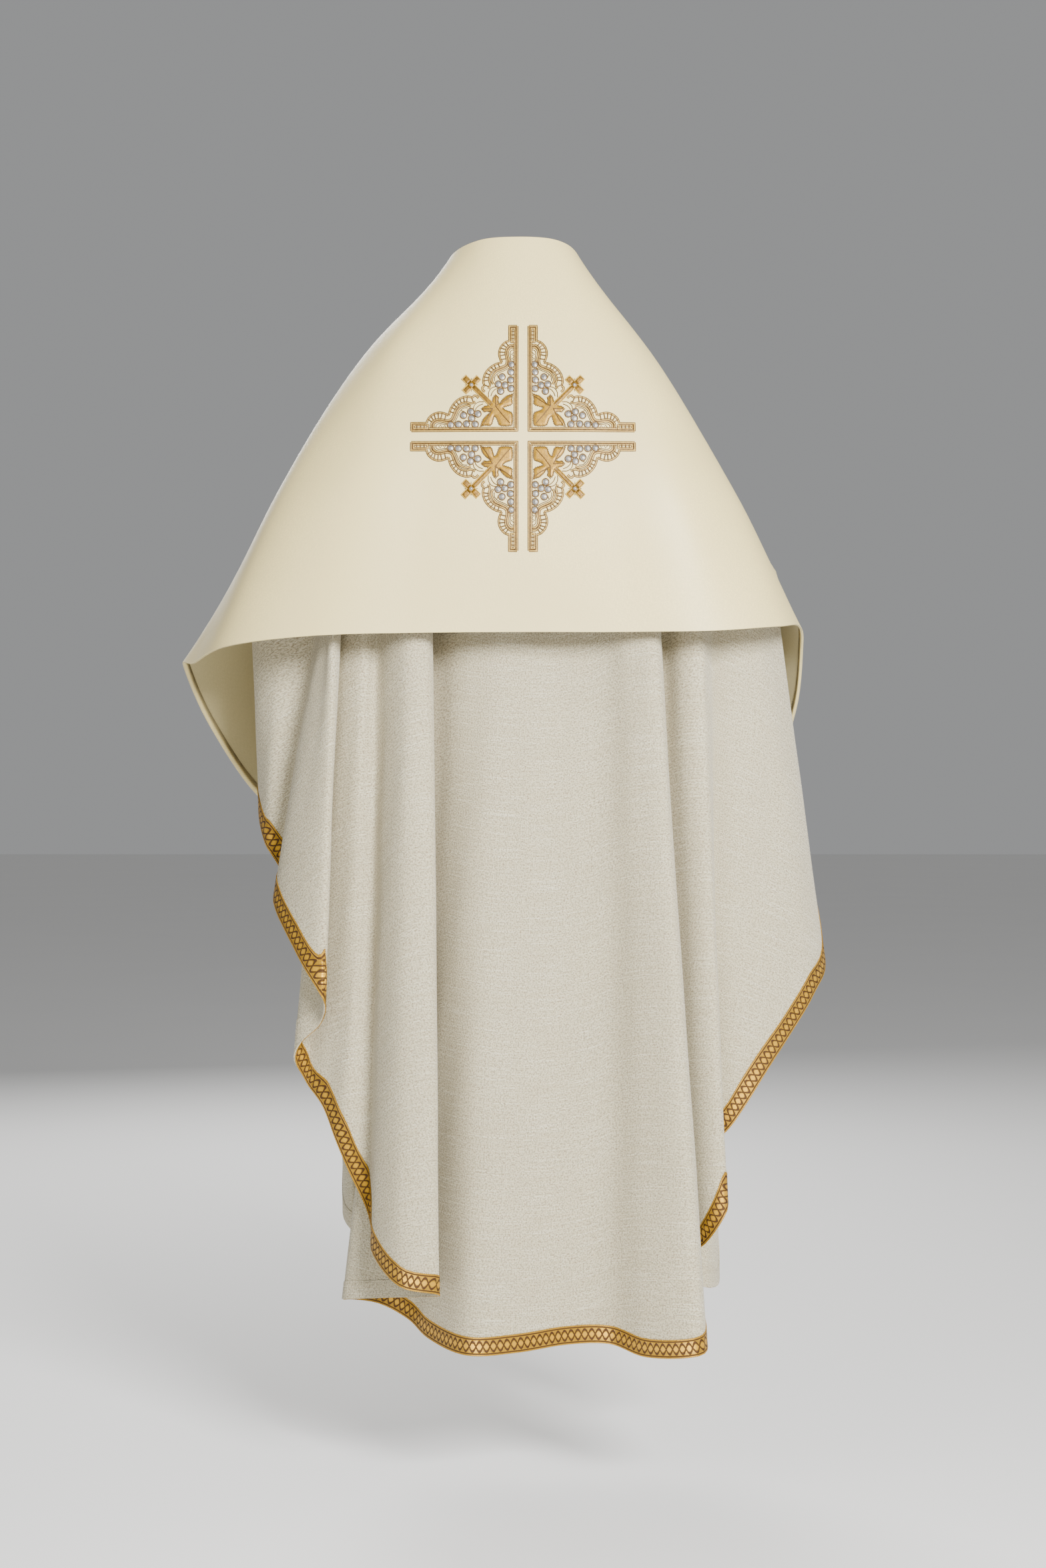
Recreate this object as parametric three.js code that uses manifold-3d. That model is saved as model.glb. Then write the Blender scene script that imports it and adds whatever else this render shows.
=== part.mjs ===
// A Roman chasuble worn under its shoulder veil, both standing as they hang on a wearer
// whose forearms are raised. Millimetres, +Z up, +Y the way the wearer faces, and the
// origin in the middle of the neck, at the height of the shoulders' bearing line.
import * as THREE from 'three';
import Module from 'manifold-3d';
import { TessellateModifier } from 'three/addons/modifiers/TessellateModifier.js';
import { mergeVertices } from 'three/addons/utils/BufferGeometryUtils.js';

// ---- driving dimensions ------------------------------------------------------------
const CLOTH = 1.6;            // thickness of the chasuble's wool-blend cloth, with its hem
const GAP = 0.3;              // air between two layers that touch
const BACK_LENGTH = 1308;     // neck line down to the lowest point of the back hem
const FRONT_LENGTH = 1272;    // neck line down to the lowest point of the front hem
const ELBOW_REACH = 345;      // centre line out to the elbow fold
const FOREARM_REACH = 265;    // centre line forward to the raised wrists
const SHOULDER_DROP = 30;     // neck line down to the point of the shoulder
const GALLOON_WIDTH = 23;     // woven metallic edging
const GALLOON_THICK = 0.9;
const COLLAR_HEIGHT = 16;     // binding round the neck opening
const COLLAR_THICK = 1.8;
const VEIL_DROP = 377;        // neck line down to the veil's lower edge at the back
const VEIL_RISE = 148;        // neck line up to the veil's upper edge behind the head
const SATIN = 1.0;            // outer layer of the veil
const LINING = 0.8;           // inner layer of the veil
const CROSS_WIDTH = 287;      // embroidered cross, tip to tip across
const CROSS_HEIGHT = 297;     // and tip to tip up the back
const CROSS_GAP = 14;         // plain satin left between its four quarters
const CROSS_DROP = 129;       // neck line down to the middle of the cross
const STITCH_THICK = 0.8;     // padded embroidery
const CLASP_PLATE_R = 15;     // clasp plates, sewn to the veil's front edges
const CLASP_PLATE_THICK = 2;
const CLASP_BAR_WIDTH = 9;
const CLASP_BAR_THICK = 2;
const CLASP_PIN_R = 1.5;
const CLASP_CLEAR = 0.4;      // running clearance at the clasp's pin and stud

// ---- where the garment bears: neck, shoulder, upper arm, elbow, forearm, wrist ------
const wide = ELBOW_REACH / 345;
const ahead = FOREARM_REACH / 265;
const drop = SHOULDER_DROP - 30;

const RIDGE_LEFT = [
  [-82, -8, 6], [-185, -12, -22], [-285, -2, -128],
  [-352, 20, -305], [-262, 150, -345], [-160, 265, -350],
];
const RIDGE_RIGHT = [
  [80, -8, 6], [172, -12, -48], [262, -2, -190],
  [338, 20, -313], [262, 150, -350], [160, 265, -352],
];
const NECK_BACK = [0, -60, 18];
const NECK_FRONT = [0, 88, -46];

function place(x, y, z) {
  return new THREE.Vector3(x * wide, y > 100 ? 100 + (y - 100) * ahead : y, z);
}

// A point on the bearing line: 0 is the neck, 1 its side, 2 the shoulder, 3 the upper
// arm, 4 the elbow, 5 the forearm and 6 the wrist; minus is the wearer's left.
function bearing(q, neck) {
  const side = q < 0 ? RIDGE_LEFT : RIDGE_RIGHT;
  const stops = [neck, ...side].map(([x, y, z], i) => place(x, y, i > 1 ? z - drop : z));
  const at = Math.min(Math.abs(q), stops.length - 1.000001);
  const i = Math.floor(at);
  if (i > 0) return stops[i].clone().lerp(stops[i + 1], at - i);
  const turn = at * Math.PI / 2;
  const [middle, corner] = stops;
  const point = corner.clone().lerp(middle, Math.cos(turn));
  return point.setX(middle.x + (corner.x - middle.x) * Math.sin(turn));
}

// ---- fold lines ----------------------------------------------------------------------
// Each fold line starts on the bearing line at q, passes [x, y, z] at elbow height and
// ends on the hem at [x, y, rise], where rise is counted up from the lowest hem.
const BACK_FOLDS = [
  { q: -6, arm: [-163, 268, -366], hem: [-160, 270, 926] },
  { q: -5, arm: [-228, 205, -385], hem: [-220, 212, 876] },
  { q: -4.6, arm: [-285, 145, -385], hem: [-278, 158, 810] },
  { q: -4.3, arm: [-335, 75, -372], hem: [-328, 95, 752] },
  { q: -4, arm: [-361, 0, -360], hem: [-355, 40, 708] },
  { q: -3.6, arm: [-324, -50, -360], hem: [-341, -10, 654] },
  { q: -3.25, arm: [-275, -66, -360], hem: [-319, -15, 613] },
  { q: -3, arm: [-262, -96, -360], hem: [-323, -60, 579] },
  { q: -2.85, arm: [-251, -116, -360], hem: [-292, -112, 518] },
  { q: -2.7, arm: [-243, -124, -360], hem: [-257, -134, 458] },
  { q: -2.55, arm: [-236, -108, -360], hem: [-262, -106, 425] },
  { q: -2.45, arm: [-240, -94, -360], hem: [-288, -86, 398] },
  { q: -2.35, arm: [-243, -84, -360], hem: [-298, -70, 372] },
  { q: -2.28, arm: [-238, -78, -360], hem: [-284, -60, 345] },
  { q: -2.2, arm: [-226, -88, -360], hem: [-260, -78, 314] },
  { q: -2.1, arm: [-207, -97, -360], hem: [-230, -102, 243] },
  { q: -2, arm: [-190, -88, -360], hem: [-197, -100, 170] },
  { q: -1.85, arm: [-171, -108, -360], hem: [-190, -140, 132] },
  { q: -1.7, arm: [-147, -132, -360], hem: [-155, -184, 100] },
  { q: -1.55, arm: [-123, -128, -360], hem: [-112, -186, 91] },
  { q: -1.45, arm: [-117, -104, -360], hem: [-114, -158, 82] },
  { q: -1.38, arm: [-125, -86, -360], hem: [-170, -106, 70] },
  { q: -1.32, arm: [-132, -74, -360], hem: [-233, -72, 61] },
  { q: -1.26, arm: [-130, -64, -360], hem: [-228, -48, 57] },
  { q: -1.2, arm: [-120, -60, -360], hem: [-190, -40, 50] },
  { q: -1.1, arm: [-106, -70, -360], hem: [-150, -54, 32] },
  { q: -1, arm: [-81, -92, -360], hem: [-122, -92, 15] },
  { q: -0.5, arm: [-42, -102, -360], hem: [-71, -150, 6] },
  { q: 0, arm: [5, -104, -360], hem: [-12, -146, 8] },
  { q: 0.5, arm: [57, -102, -360], hem: [57, -117, 12] },
  { q: 1, arm: [104, -108, -360], hem: [113, -112, 12] },
  { q: 1.3, arm: [138, -127, -360], hem: [160, -148, 3] },
  { q: 1.5, arm: [166, -132, -360], hem: [222, -174, 10] },
  { q: 1.6, arm: [175, -114, -360], hem: [233, -142, 22] },
  { q: 1.7, arm: [170, -97, -360], hem: [206, -104, 58] },
  { q: 1.78, arm: [166, -82, -360], hem: [174, -76, 84] },
  { q: 1.86, arm: [170, -70, -360], hem: [180, -54, 100] },
  { q: 1.93, arm: [182, -72, -360], hem: [208, -62, 116] },
  { q: 2, arm: [202, -94, -360], hem: [238, -96, 139] },
  { q: 2.2, arm: [225, -100, -360], hem: [262, -100, 182] },
  { q: 2.35, arm: [238, -84, -360], hem: [260, -68, 216] },
  { q: 2.5, arm: [248, -70, -360], hem: [248, -42, 250] },
  { q: 3, arm: [271, -66, -360], hem: [278, -44, 289] },
  { q: 3.4, arm: [301, -48, -360], hem: [323, -30, 359] },
  { q: 3.75, arm: [328, -12, -362], hem: [386, 10, 450] },
  { q: 4, arm: [346, 36, -368], hem: [407, 60, 506] },
  { q: 4.3, arm: [326, 90, -380], hem: [352, 112, 660] },
  { q: 4.6, arm: [282, 145, -388], hem: [288, 160, 776] },
  { q: 5, arm: [226, 205, -388], hem: [222, 213, 868] },
  { q: 6, arm: [163, 268, -368], hem: [160, 270, 922] },
];
const FRONT_FOLDS = [
  { q: -6, arm: [-156, 264, -366], hem: [-153, 264, 888] },
  { q: -5.6, arm: [-140, 256, -400], hem: [-134, 258, 715] },
  { q: -5.3, arm: [-160, 218, -405], hem: [-150, 226, 512] },
  { q: -5, arm: [-208, 160, -420], hem: [-206, 178, 330] },
  { q: -4.5, arm: [-262, 92, -420], hem: [-248, 118, 128] },
  { q: -4, arm: [-252, 48, -430], hem: [-226, 62, 82] },
  { q: -3, arm: [-212, 104, -360], hem: [-184, 148, 36] },
  { q: -2, arm: [-166, 132, -360], hem: [-132, 204, 12] },
  { q: -1.4, arm: [-122, 108, -360], hem: [-88, 150, 6] },
  { q: -1, arm: [-92, 118, -360], hem: [-66, 168, 3] },
  { q: -0.55, arm: [-56, 128, -360], hem: [-40, 184, 0] },
  { q: 0, arm: [0, 114, -360], hem: [4, 150, 2] },
  { q: 0.55, arm: [56, 128, -360], hem: [44, 186, 0] },
  { q: 1, arm: [92, 118, -360], hem: [72, 168, 2] },
  { q: 1.4, arm: [122, 108, -360], hem: [96, 152, 4] },
  { q: 2, arm: [166, 132, -360], hem: [142, 202, 8] },
  { q: 3, arm: [212, 104, -360], hem: [196, 146, 14] },
  { q: 4, arm: [252, 48, -430], hem: [238, 52, 18] },
  { q: 4.5, arm: [262, 92, -420], hem: [268, 104, 26] },
  { q: 5, arm: [208, 160, -420], hem: [214, 178, 236] },
  { q: 5.3, arm: [160, 218, -405], hem: [156, 226, 470] },
  { q: 5.6, arm: [140, 256, -400], hem: [136, 258, 700] },
  { q: 6, arm: [156, 264, -366], hem: [153, 264, 884] },
];

// The veil's lines run from its upper edge to its lower edge, one third of its width
// between points: wearer's left front end first, behind the neck, then the right one.
const VEIL_LINES = [
  [[-72, 290, -262], [-88, 352, -330], [-92, 376, -520], [-95, 382, -770]],
  [[-70, 235, -240], [-112, 312, -282], [-136, 360, -440], [-152, 368, -720]],
  [[-60, 165, -182], [-124, 258, -242], [-182, 325, -372], [-222, 332, -672]],
  [[-52, 130, -112], [-142, 200, -208], [-232, 268, -350], [-302, 280, -634]],
  [[-60, 122, -68], [-166, 156, -188], [-284, 195, -338], [-372, 203, -590]],
  [[-72, 108, -18], [-190, 112, -146], [-322, 126, -300], [-434, 132, -490]],
  [[-82, 90, 26], [-210, 72, -92], [-340, 62, -250], [-460, 62, -412]],
  [[-92, 68, 64], [-220, 38, -42], [-335, 10, -205], [-438, -8, -410]],
  [[-100, 38, 102], [-208, -10, 2], [-304, -74, -178], [-385, -102, -393]],
  [[-95, 0, 132], [-170, -76, -5], [-222, -138, -190], [-272, -152, -382]],
  [[-58, -36, 146], [-88, -104, -12], [-112, -147, -195], [-135, -157, -378]],
  [[-8, -50, 148], [-4, -110, -14], [0, -150, -195], [0, -158, -377]],
  [[42, -40, 146], [82, -105, -14], [108, -149, -195], [130, -158, -377]],
  [[70, -8, 135], [148, -78, -15], [205, -138, -195], [245, -152, -375]],
  [[78, 30, 108], [182, -16, -20], [268, -72, -188], [330, -100, -367]],
  [[76, 62, 68], [190, 35, -68], [295, 5, -213], [368, -5, -362]],
  [[74, 88, 28], [186, 70, -112], [302, 62, -260], [378, 62, -392]],
  [[68, 108, -18], [174, 112, -158], [296, 124, -312], [376, 122, -468]],
  [[60, 122, -68], [158, 158, -196], [274, 192, -345], [346, 198, -566]],
  [[52, 130, -112], [142, 200, -210], [230, 266, -354], [292, 278, -612]],
  [[60, 165, -182], [124, 258, -244], [182, 325, -372], [220, 332, -656]],
  [[70, 235, -240], [112, 312, -284], [136, 360, -440], [150, 368, -712]],
  [[72, 290, -262], [88, 352, -332], [92, 376, -520], [96, 382, -764]],
];

// ---- lofting -------------------------------------------------------------------------
// A cubic through points at uneven knots.
function through(points, knots, t) {
  const last = points.length - 1;
  let i = 0;
  while (i < last - 1 && t > knots[i + 1]) i += 1;
  const slope = (k) => {
    const a = Math.max(k - 1, 0);
    const b = Math.min(k + 1, last);
    return points[b].clone().sub(points[a]).divideScalar(knots[b] - knots[a]);
  };
  const h = knots[i + 1] - knots[i];
  const s = (t - knots[i]) / h;
  const s2 = s * s;
  const s3 = s2 * s;
  return points[i].clone().multiplyScalar(2 * s3 - 3 * s2 + 1)
    .addScaledVector(slope(i), h * (s3 - 2 * s2 + s))
    .addScaledVector(points[i + 1], 3 * s2 - 2 * s3)
    .addScaledVector(slope(i + 1), h * (s3 - s2));
}

// Samples between neighbouring lines: one more for every stretch of the given length.
function samples(lines, stretch) {
  const knots = [0];
  const cuts = [];
  for (let i = 1; i < lines.length; i += 1) {
    const a = lines[i - 1];
    const b = lines[i];
    const low = a[a.length - 1].distanceTo(b[b.length - 1]);
    const mid = a[2].distanceTo(b[2]);
    knots.push(knots[i - 1] + Math.sqrt(low + mid));
    const steps = Math.max(1, Math.round(Math.max(low, mid) / stretch));
    for (let k = 0; k < steps; k += 1) {
      cuts.push({ u: knots[i - 1] + (knots[i] - knots[i - 1]) * k / steps, i: i - 1, s: k / steps });
    }
  }
  cuts.push({ u: knots[lines.length - 1], i: lines.length - 2, s: 1 });
  return { knots, cuts };
}

function lineAt(lines, knots, u) {
  return lines[0].map((_, row) => through(lines.map((line) => line[row]), knots, u));
}

// ---- from a grid of points to a closed shell -------------------------------------------
function gridNormals(grid) {
  return grid.map((column, i) => column.map((_, j) => {
    const left = grid[Math.max(i - 1, 0)][j];
    const right = grid[Math.min(i + 1, grid.length - 1)][j];
    const up = column[Math.max(j - 1, 0)];
    const down = column[Math.min(j + 1, column.length - 1)];
    return right.clone().sub(left).cross(up.clone().sub(down)).normalize();
  }));
}

// Joins two layers of the same grid with a rim; the outer layer faces along the normals.
function shell(inner, outer) {
  const across = inner.length;
  const down = inner[0].length;
  const points = [...outer.flat(), ...inner.flat()];
  const id = (layer, i, j) => layer * across * down + i * down + j;
  const faces = [];
  const quad = (a, b, c, d) => faces.push(a, b, c, a, c, d);
  for (let i = 0; i + 1 < across; i += 1) {
    for (let j = 0; j + 1 < down; j += 1) {
      quad(id(0, i, j), id(0, i, j + 1), id(0, i + 1, j + 1), id(0, i + 1, j));
      quad(id(1, i, j), id(1, i + 1, j), id(1, i + 1, j + 1), id(1, i, j + 1));
    }
    quad(id(0, i, 0), id(0, i + 1, 0), id(1, i + 1, 0), id(1, i, 0));
    quad(id(0, i, down - 1), id(1, i, down - 1), id(1, i + 1, down - 1), id(0, i + 1, down - 1));
  }
  for (let j = 0; j + 1 < down; j += 1) {
    quad(id(0, 0, j), id(1, 0, j), id(1, 0, j + 1), id(0, 0, j + 1));
    quad(id(0, across - 1, j), id(0, across - 1, j + 1), id(1, across - 1, j + 1), id(1, across - 1, j));
  }
  return solid(points, faces);
}

function solid(points, faces) {
  const geometry = new THREE.BufferGeometry();
  geometry.setAttribute('position', new THREE.Float32BufferAttribute(points.flatMap((p) => p.toArray()), 3));
  geometry.setIndex(faces);
  geometry.computeVertexNormals();
  return geometry;
}

function layer(grid, normals, height) {
  return grid.map((column, i) => column.map((p, j) => p.clone().addScaledVector(normals[i][j], height)));
}

// ---- the chasuble ---------------------------------------------------------------------
const SEAM_INSET = 2;         // each panel stops this far short of the shoulder seam
const PANEL_ROWS = [0.1, 0.3, 0.5, 0.75];
const PANEL_STRETCH = 58;

function foldLine(fold, neck, length, swell) {
  const top = bearing(fold.q, neck);
  const arm = place(...fold.arm);
  arm.z -= drop;
  const hem = place(fold.hem[0], fold.hem[1], fold.hem[2] - length);
  const over = top.clone().lerp(arm, 0.4);
  over.z = top.z + (arm.z - top.z) * 0.1;
  const back = top.clone().lerp(arm, 0.78);
  back.z = top.z + (arm.z - top.z) * 0.42;
  back.y += swell * (top.z - arm.z);
  return [top, over, back, arm, arm.clone().lerp(hem, 0.5), hem];
}

const LINE_KNOTS = [0, 0.1, 0.3, 0.5, 0.75, 1];

function panelGrid(folds, neck, length, swell) {
  const lines = folds.map((fold) => foldLine(fold, neck, length, swell));
  const { knots, cuts } = samples(lines, PANEL_STRETCH);
  const places = cuts.map(({ i, s }) => folds[i].q + (folds[i + 1].q - folds[i].q) * s);
  const columns = cuts.map(({ u }, k) => {
    const line = lineAt(lines, knots, u);
    line[0] = bearing(places[k], neck);
    return line;
  });
  const grid = columns.map((line, i) => {
    const before = columns[Math.max(i - 1, 0)];
    const after = columns[Math.min(i + 1, columns.length - 1)];
    const along = after[5].clone().sub(before[5]).normalize();
    const rise = line[4].clone().sub(line[5]);
    const up = rise.clone().normalize();
    const square = up.clone().addScaledVector(along, -up.dot(along)).length();
    const reach = GALLOON_WIDTH / Math.max(square, 0.35);
    const share = Math.min(reach / rise.length(), 0.9);
    const inset = Math.abs(places[i]) < 1 ? 0 : SEAM_INSET;
    const first = line[0].clone().add(line[1].clone().sub(line[0]).setLength(inset));
    const rows = PANEL_ROWS.map((v) => through(line, LINE_KNOTS, v));
    return [first, ...rows, line[5].clone().lerp(line[4], share), line[5]];
  });
  const neckEdge = columns.map((line) => line[0]).filter((_, k) => Math.abs(places[k]) <= 1);
  return { grid, neckEdge };
}

const cloth = {
  wool: new THREE.MeshStandardMaterial({ color: 0xcdc8bb, roughness: 0.85, metalness: 0 }),
  satin: new THREE.MeshStandardMaterial({ color: 0xebe4cd, roughness: 0.35, metalness: 0 }),
  lining: new THREE.MeshStandardMaterial({ color: 0xc9c2a4, roughness: 0.5, metalness: 0 }),
};
const metal = {
  galloon: new THREE.MeshStandardMaterial({ color: 0xc8962a, roughness: 0.4, metalness: 0.8 }),
  thread: new THREE.MeshStandardMaterial({ color: 0xb98c40, roughness: 0.45, metalness: 0.6 }),
  leaf: new THREE.MeshStandardMaterial({ color: 0xd9ae4c, roughness: 0.45, metalness: 0.6 }),
  silver: new THREE.MeshStandardMaterial({ color: 0xa8a59c, roughness: 0.4, metalness: 0.7 }),
  clasp: new THREE.MeshStandardMaterial({ color: 0xd4a63a, roughness: 0.3, metalness: 0.9 }),
};

const model = new THREE.Group();

function add(name, geometry, material) {
  const mesh = new THREE.Mesh(geometry, material);
  mesh.name = name;
  model.add(mesh);
  return mesh;
}

function addPanel(name, grid) {
  const normals = gridNormals(grid);
  add(`${name}_panel`, shell(grid, layer(grid, normals, CLOTH)), cloth.wool);
  const edge = grid.map((column) => column.slice(-2));
  const edgeNormals = normals.map((column) => column.slice(-2));
  const seat = CLOTH + GAP;
  add(
    `${name}_galloon`,
    shell(layer(edge, edgeNormals, seat), layer(edge, edgeNormals, seat + GALLOON_THICK)),
    metal.galloon,
  );
}

const BLADE = 0.07;           // how far the shoulder blades push the back out, per drop
const CHEST = 0.02;
const back = panelGrid(BACK_FOLDS, NECK_BACK, BACK_LENGTH, -BLADE);
const front = panelGrid(FRONT_FOLDS, NECK_FRONT, FRONT_LENGTH, CHEST);
const backGrid = back.grid;
const frontGrid = front.grid.reverse();
addPanel('back', backGrid);
addPanel('front', frontGrid);

// The binding that finishes the neck opening: a low band just inside the panels' edges.
const neckStops = [...back.neckEdge, ...front.neckEdge.reverse().slice(1, -1)];

function neckBinding(stops) {
  const middle = stops.reduce((sum, p) => sum.add(p), new THREE.Vector3()).divideScalar(stops.length);
  const count = stops.length;
  const section = stops.map((p) => {
    const inward = middle.clone().sub(p).setZ(0).normalize();
    const near = p.clone().addScaledVector(inward, GAP);
    const far = p.clone().addScaledVector(inward, GAP + COLLAR_THICK);
    const low = new THREE.Vector3(0, 0, -COLLAR_HEIGHT / 2);
    const high = new THREE.Vector3(0, 0, COLLAR_HEIGHT / 2);
    return [near.clone().add(low), far.clone().add(low), far.clone().add(high), near.clone().add(high)];
  });
  const faces = [];
  for (let i = 0; i < count; i += 1) {
    for (let k = 0; k < 4; k += 1) {
      const a = i * 4 + k;
      const b = i * 4 + (k + 1) % 4;
      const c = ((i + 1) % count) * 4 + (k + 1) % 4;
      const d = ((i + 1) % count) * 4 + k;
      faces.push(a, b, c, a, c, d);
    }
  }
  return solid(section.flat(), faces);
}

add('neck_binding', neckBinding(neckStops), metal.galloon);

// ---- the shoulder veil ------------------------------------------------------------------
const VEIL_KNOTS = [0, 1 / 3, 2 / 3, 1];
const VEIL_ROWS = [0, 0.12, 0.24, 0.36, 0.48, 0.6, 0.72, 0.86, 1];
const behind = (VEIL_DROP + VEIL_RISE) / (377 + 148);

// Heights are drawn for the veil's own rise and drop, so both scale about the neck line.
function veilPoint([x, y, z]) {
  return place(x, y, VEIL_RISE + (z - 148) * behind);
}

const veilLines = VEIL_LINES.map((line) => line.map(veilPoint));
const VEIL_STRETCH = 62;
const veilSamples = samples(veilLines, VEIL_STRETCH);
const veilGrid = veilSamples.cuts.map(({ u }) => {
  const line = lineAt(veilLines, veilSamples.knots, u);
  return VEIL_ROWS.map((v) => through(line, VEIL_KNOTS, v));
});

// Triangles of a layer of a grid, for measuring heights on it.
function facets(grid) {
  const found = [];
  for (let i = 0; i + 1 < grid.length; i += 1) {
    for (let j = 0; j + 1 < grid[0].length; j += 1) {
      const [a, b, c, d] = [grid[i][j], grid[i][j + 1], grid[i + 1][j + 1], grid[i + 1][j]];
      found.push([a, b, c], [a, c, d]);
    }
  }
  return found;
}

// The depth, along one axis, of a facet at a place given by the other two.
function depthAt([a, b, c], p, [s, t], along) {
  const det = (b[s] - a[s]) * (c[t] - a[t]) - (c[s] - a[s]) * (b[t] - a[t]);
  if (Math.abs(det) < 1e-9) return null;
  const v = ((p[s] - a[s]) * (c[t] - a[t]) - (c[s] - a[s]) * (p[t] - a[t])) / det;
  const w = ((b[s] - a[s]) * (p[t] - a[t]) - (p[s] - a[s]) * (b[t] - a[t])) / det;
  if (v < 0 || w < 0 || v + w > 1) return null;
  return a[along] + v * (b[along] - a[along]) + w * (c[along] - a[along]);
}

// The veil is let down until its lining comes to rest on the chasuble's shoulders.
const chasubleTop = [backGrid, frontGrid].flatMap((grid) => facets(layer(grid, gridNormals(grid), CLOTH)));
const veilUnder = facets(veilGrid);

function clearance() {
  let least = Infinity;
  const lower = (points, faces, sign) => {
    for (const p of points) {
      for (const facet of faces) {
        const z = depthAt(facet, p, ['x', 'y'], 'z');
        if (z !== null) {
          const room = sign * (p.z - z);
          if (room > -60 && room < least) least = room;
        }
      }
    }
  };
  lower(veilGrid.flat(), chasubleTop, 1);
  lower(chasubleTop.flat(), veilUnder, -1);
  return least;
}

const VEIL_SEAT = 0.6;        // height that the lining keeps over the shoulders
const settle = clearance() - VEIL_SEAT;
for (const p of veilGrid.flat()) p.z -= settle;

const veilNormals = gridNormals(veilGrid);
const satinSeat = LINING + GAP;
const satinFace = layer(veilGrid, veilNormals, satinSeat + SATIN);
add('veil_lining', shell(veilGrid, layer(veilGrid, veilNormals, LINING)), cloth.lining);
add('veil_satin', shell(layer(veilGrid, veilNormals, satinSeat), satinFace), cloth.satin);

// ---- the embroidered cross ----------------------------------------------------------------
// Each quarter is drawn from its inner corner: across first, up second, and each outline
// is the half on one side of the quarter's diagonal, which is also drawn mirrored.
const QUARTER = 141.7;        // reach of the drawing below
const STITCH_SEAT = 0.7;      // keeps flat stitching clear of the curved satin
const LONGEST_STITCH = 32;    // so that it bends with the satin
const BORDER_HALF = [
  [0, 0], [0, 141.7], [10.9, 141.7], [10.9, 121], [18, 118], [23.5, 111],
  [24.8, 104], [23.5, 97], [20.7, 91.5], [31, 88.5], [39, 82], [44.5, 74], [46, 66], [44.2, 60],
  [47.5, 57], [44.5, 52.5], [37, 57], [35.5, 62], [36, 67], [34.5, 72], [31, 76.5], [24, 80], [15.5, 84],
  [14.4, 89], [14.6, 96], [14.3, 102], [13.2, 107], [9.5, 110.5], [3.6, 111.5], [3.6, 3.6],
];
const LEAF_HALF = [
  [6.5, 6.5], [6.5, 16], [7.5, 24], [10, 29], [18.6, 31.8], [6.4, 36.5], [4.7, 50], [17.6, 46.6],
  [25, 38], [24.5, 45], [30.5, 49], [34.7, 43.4], [35.5, 37.5],
];
const GRAPES = [
  [4.6, 92.5], [10.8, 92.8], [12.8, 88.5], [12.2, 84], [14, 80.5], [18, 77.6], [24, 76.2], [27, 71],
  [30.2, 65], [30, 60], [27.2, 57], [27.5, 52], [24.5, 48.4], [19.5, 49.6], [15, 54.4], [10, 51.9],
  [4.6, 52.6],
];
const CROSSLET = [            // along the diagonal first, then to its side
  [52.5, -2.6], [83.2, -2.6], [83.2, -13.5], [90.8, -13.5], [90.8, -3.8], [101.5, -3.8],
  [101.5, 3.8], [90.8, 3.8], [90.8, 13.5], [83.2, 13.5], [83.2, 2.6], [52.5, 2.6],
];
const mirrored = (points) => points.map(([across, up]) => [up, across]);
const whole = (half) => [...half, ...mirrored(half).reverse()];
const turned = (points) => points.map(([p, q]) => [(p - q) * Math.SQRT1_2, (p + q) * Math.SQRT1_2]);
const satinFacets = facets(satinFace).filter((facet) => facet.every((p) => p.y < 0));

function onSatin(x, z) {
  const p = new THREE.Vector3(x, 0, z);
  let front = Infinity;
  for (const facet of satinFacets) {
    const y = depthAt(facet, p, ['x', 'z'], 'y');
    if (y !== null && y < front) front = y;
  }
  return front;
}

function stitched(outline, sideX, sideZ) {
  const shape = new THREE.Shape(outline.map(([across, up]) => new THREE.Vector2(across, up)));
  const flat = new THREE.ExtrudeGeometry(shape, { depth: STITCH_THICK, bevelEnabled: false });
  const slab = new TessellateModifier(LONGEST_STITCH, 12).modify(flat);
  slab.deleteAttribute('normal');
  slab.deleteAttribute('uv');
  const merged = mergeVertices(slab);
  const at = merged.getAttribute('position');
  for (let k = 0; k < at.count; k += 1) {
    const x = sideX * (CROSS_GAP / 2 + at.getX(k) * (CROSS_WIDTH - CROSS_GAP) / 2 / QUARTER);
    const z = sideZ * (CROSS_GAP / 2 + at.getY(k) * (CROSS_HEIGHT - CROSS_GAP) / 2 / QUARTER) - CROSS_DROP;
    at.setXYZ(k, x, onSatin(x, z) - STITCH_SEAT - at.getZ(k), z);
  }
  const faces = Array.from(merged.index.array);
  if (sideX * sideZ > 0) return solid(pointsOf(merged), faces);
  const flipped = [];
  for (let k = 0; k < faces.length; k += 3) flipped.push(faces[k], faces[k + 2], faces[k + 1]);
  return solid(pointsOf(merged), flipped);
}

function pointsOf(geometry) {
  const at = geometry.getAttribute('position');
  return Array.from({ length: at.count }, (_, k) => new THREE.Vector3().fromBufferAttribute(at, k));
}

for (const [level, sideZ] of [['upper', 1], ['lower', -1]]) {
  for (const [hand, sideX] of [['left', -1], ['right', 1]]) {
    const quarter = `${level}_${hand}`;
    add(`cross_border_${quarter}`, stitched(whole(BORDER_HALF).slice(0, -1), sideX, sideZ), metal.thread);
    add(`vine_leaf_${quarter}`, stitched(whole(LEAF_HALF).slice(0, -1), sideX, sideZ), metal.leaf);
    add(`crosslet_${quarter}`, stitched(turned(CROSSLET), sideX, sideZ), metal.thread);
    add(`grapes_tall_${quarter}`, stitched(GRAPES, sideX, sideZ), metal.silver);
    add(`grapes_wide_${quarter}`, stitched(mirrored(GRAPES).reverse(), sideX, sideZ), metal.silver);
  }
}

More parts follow.
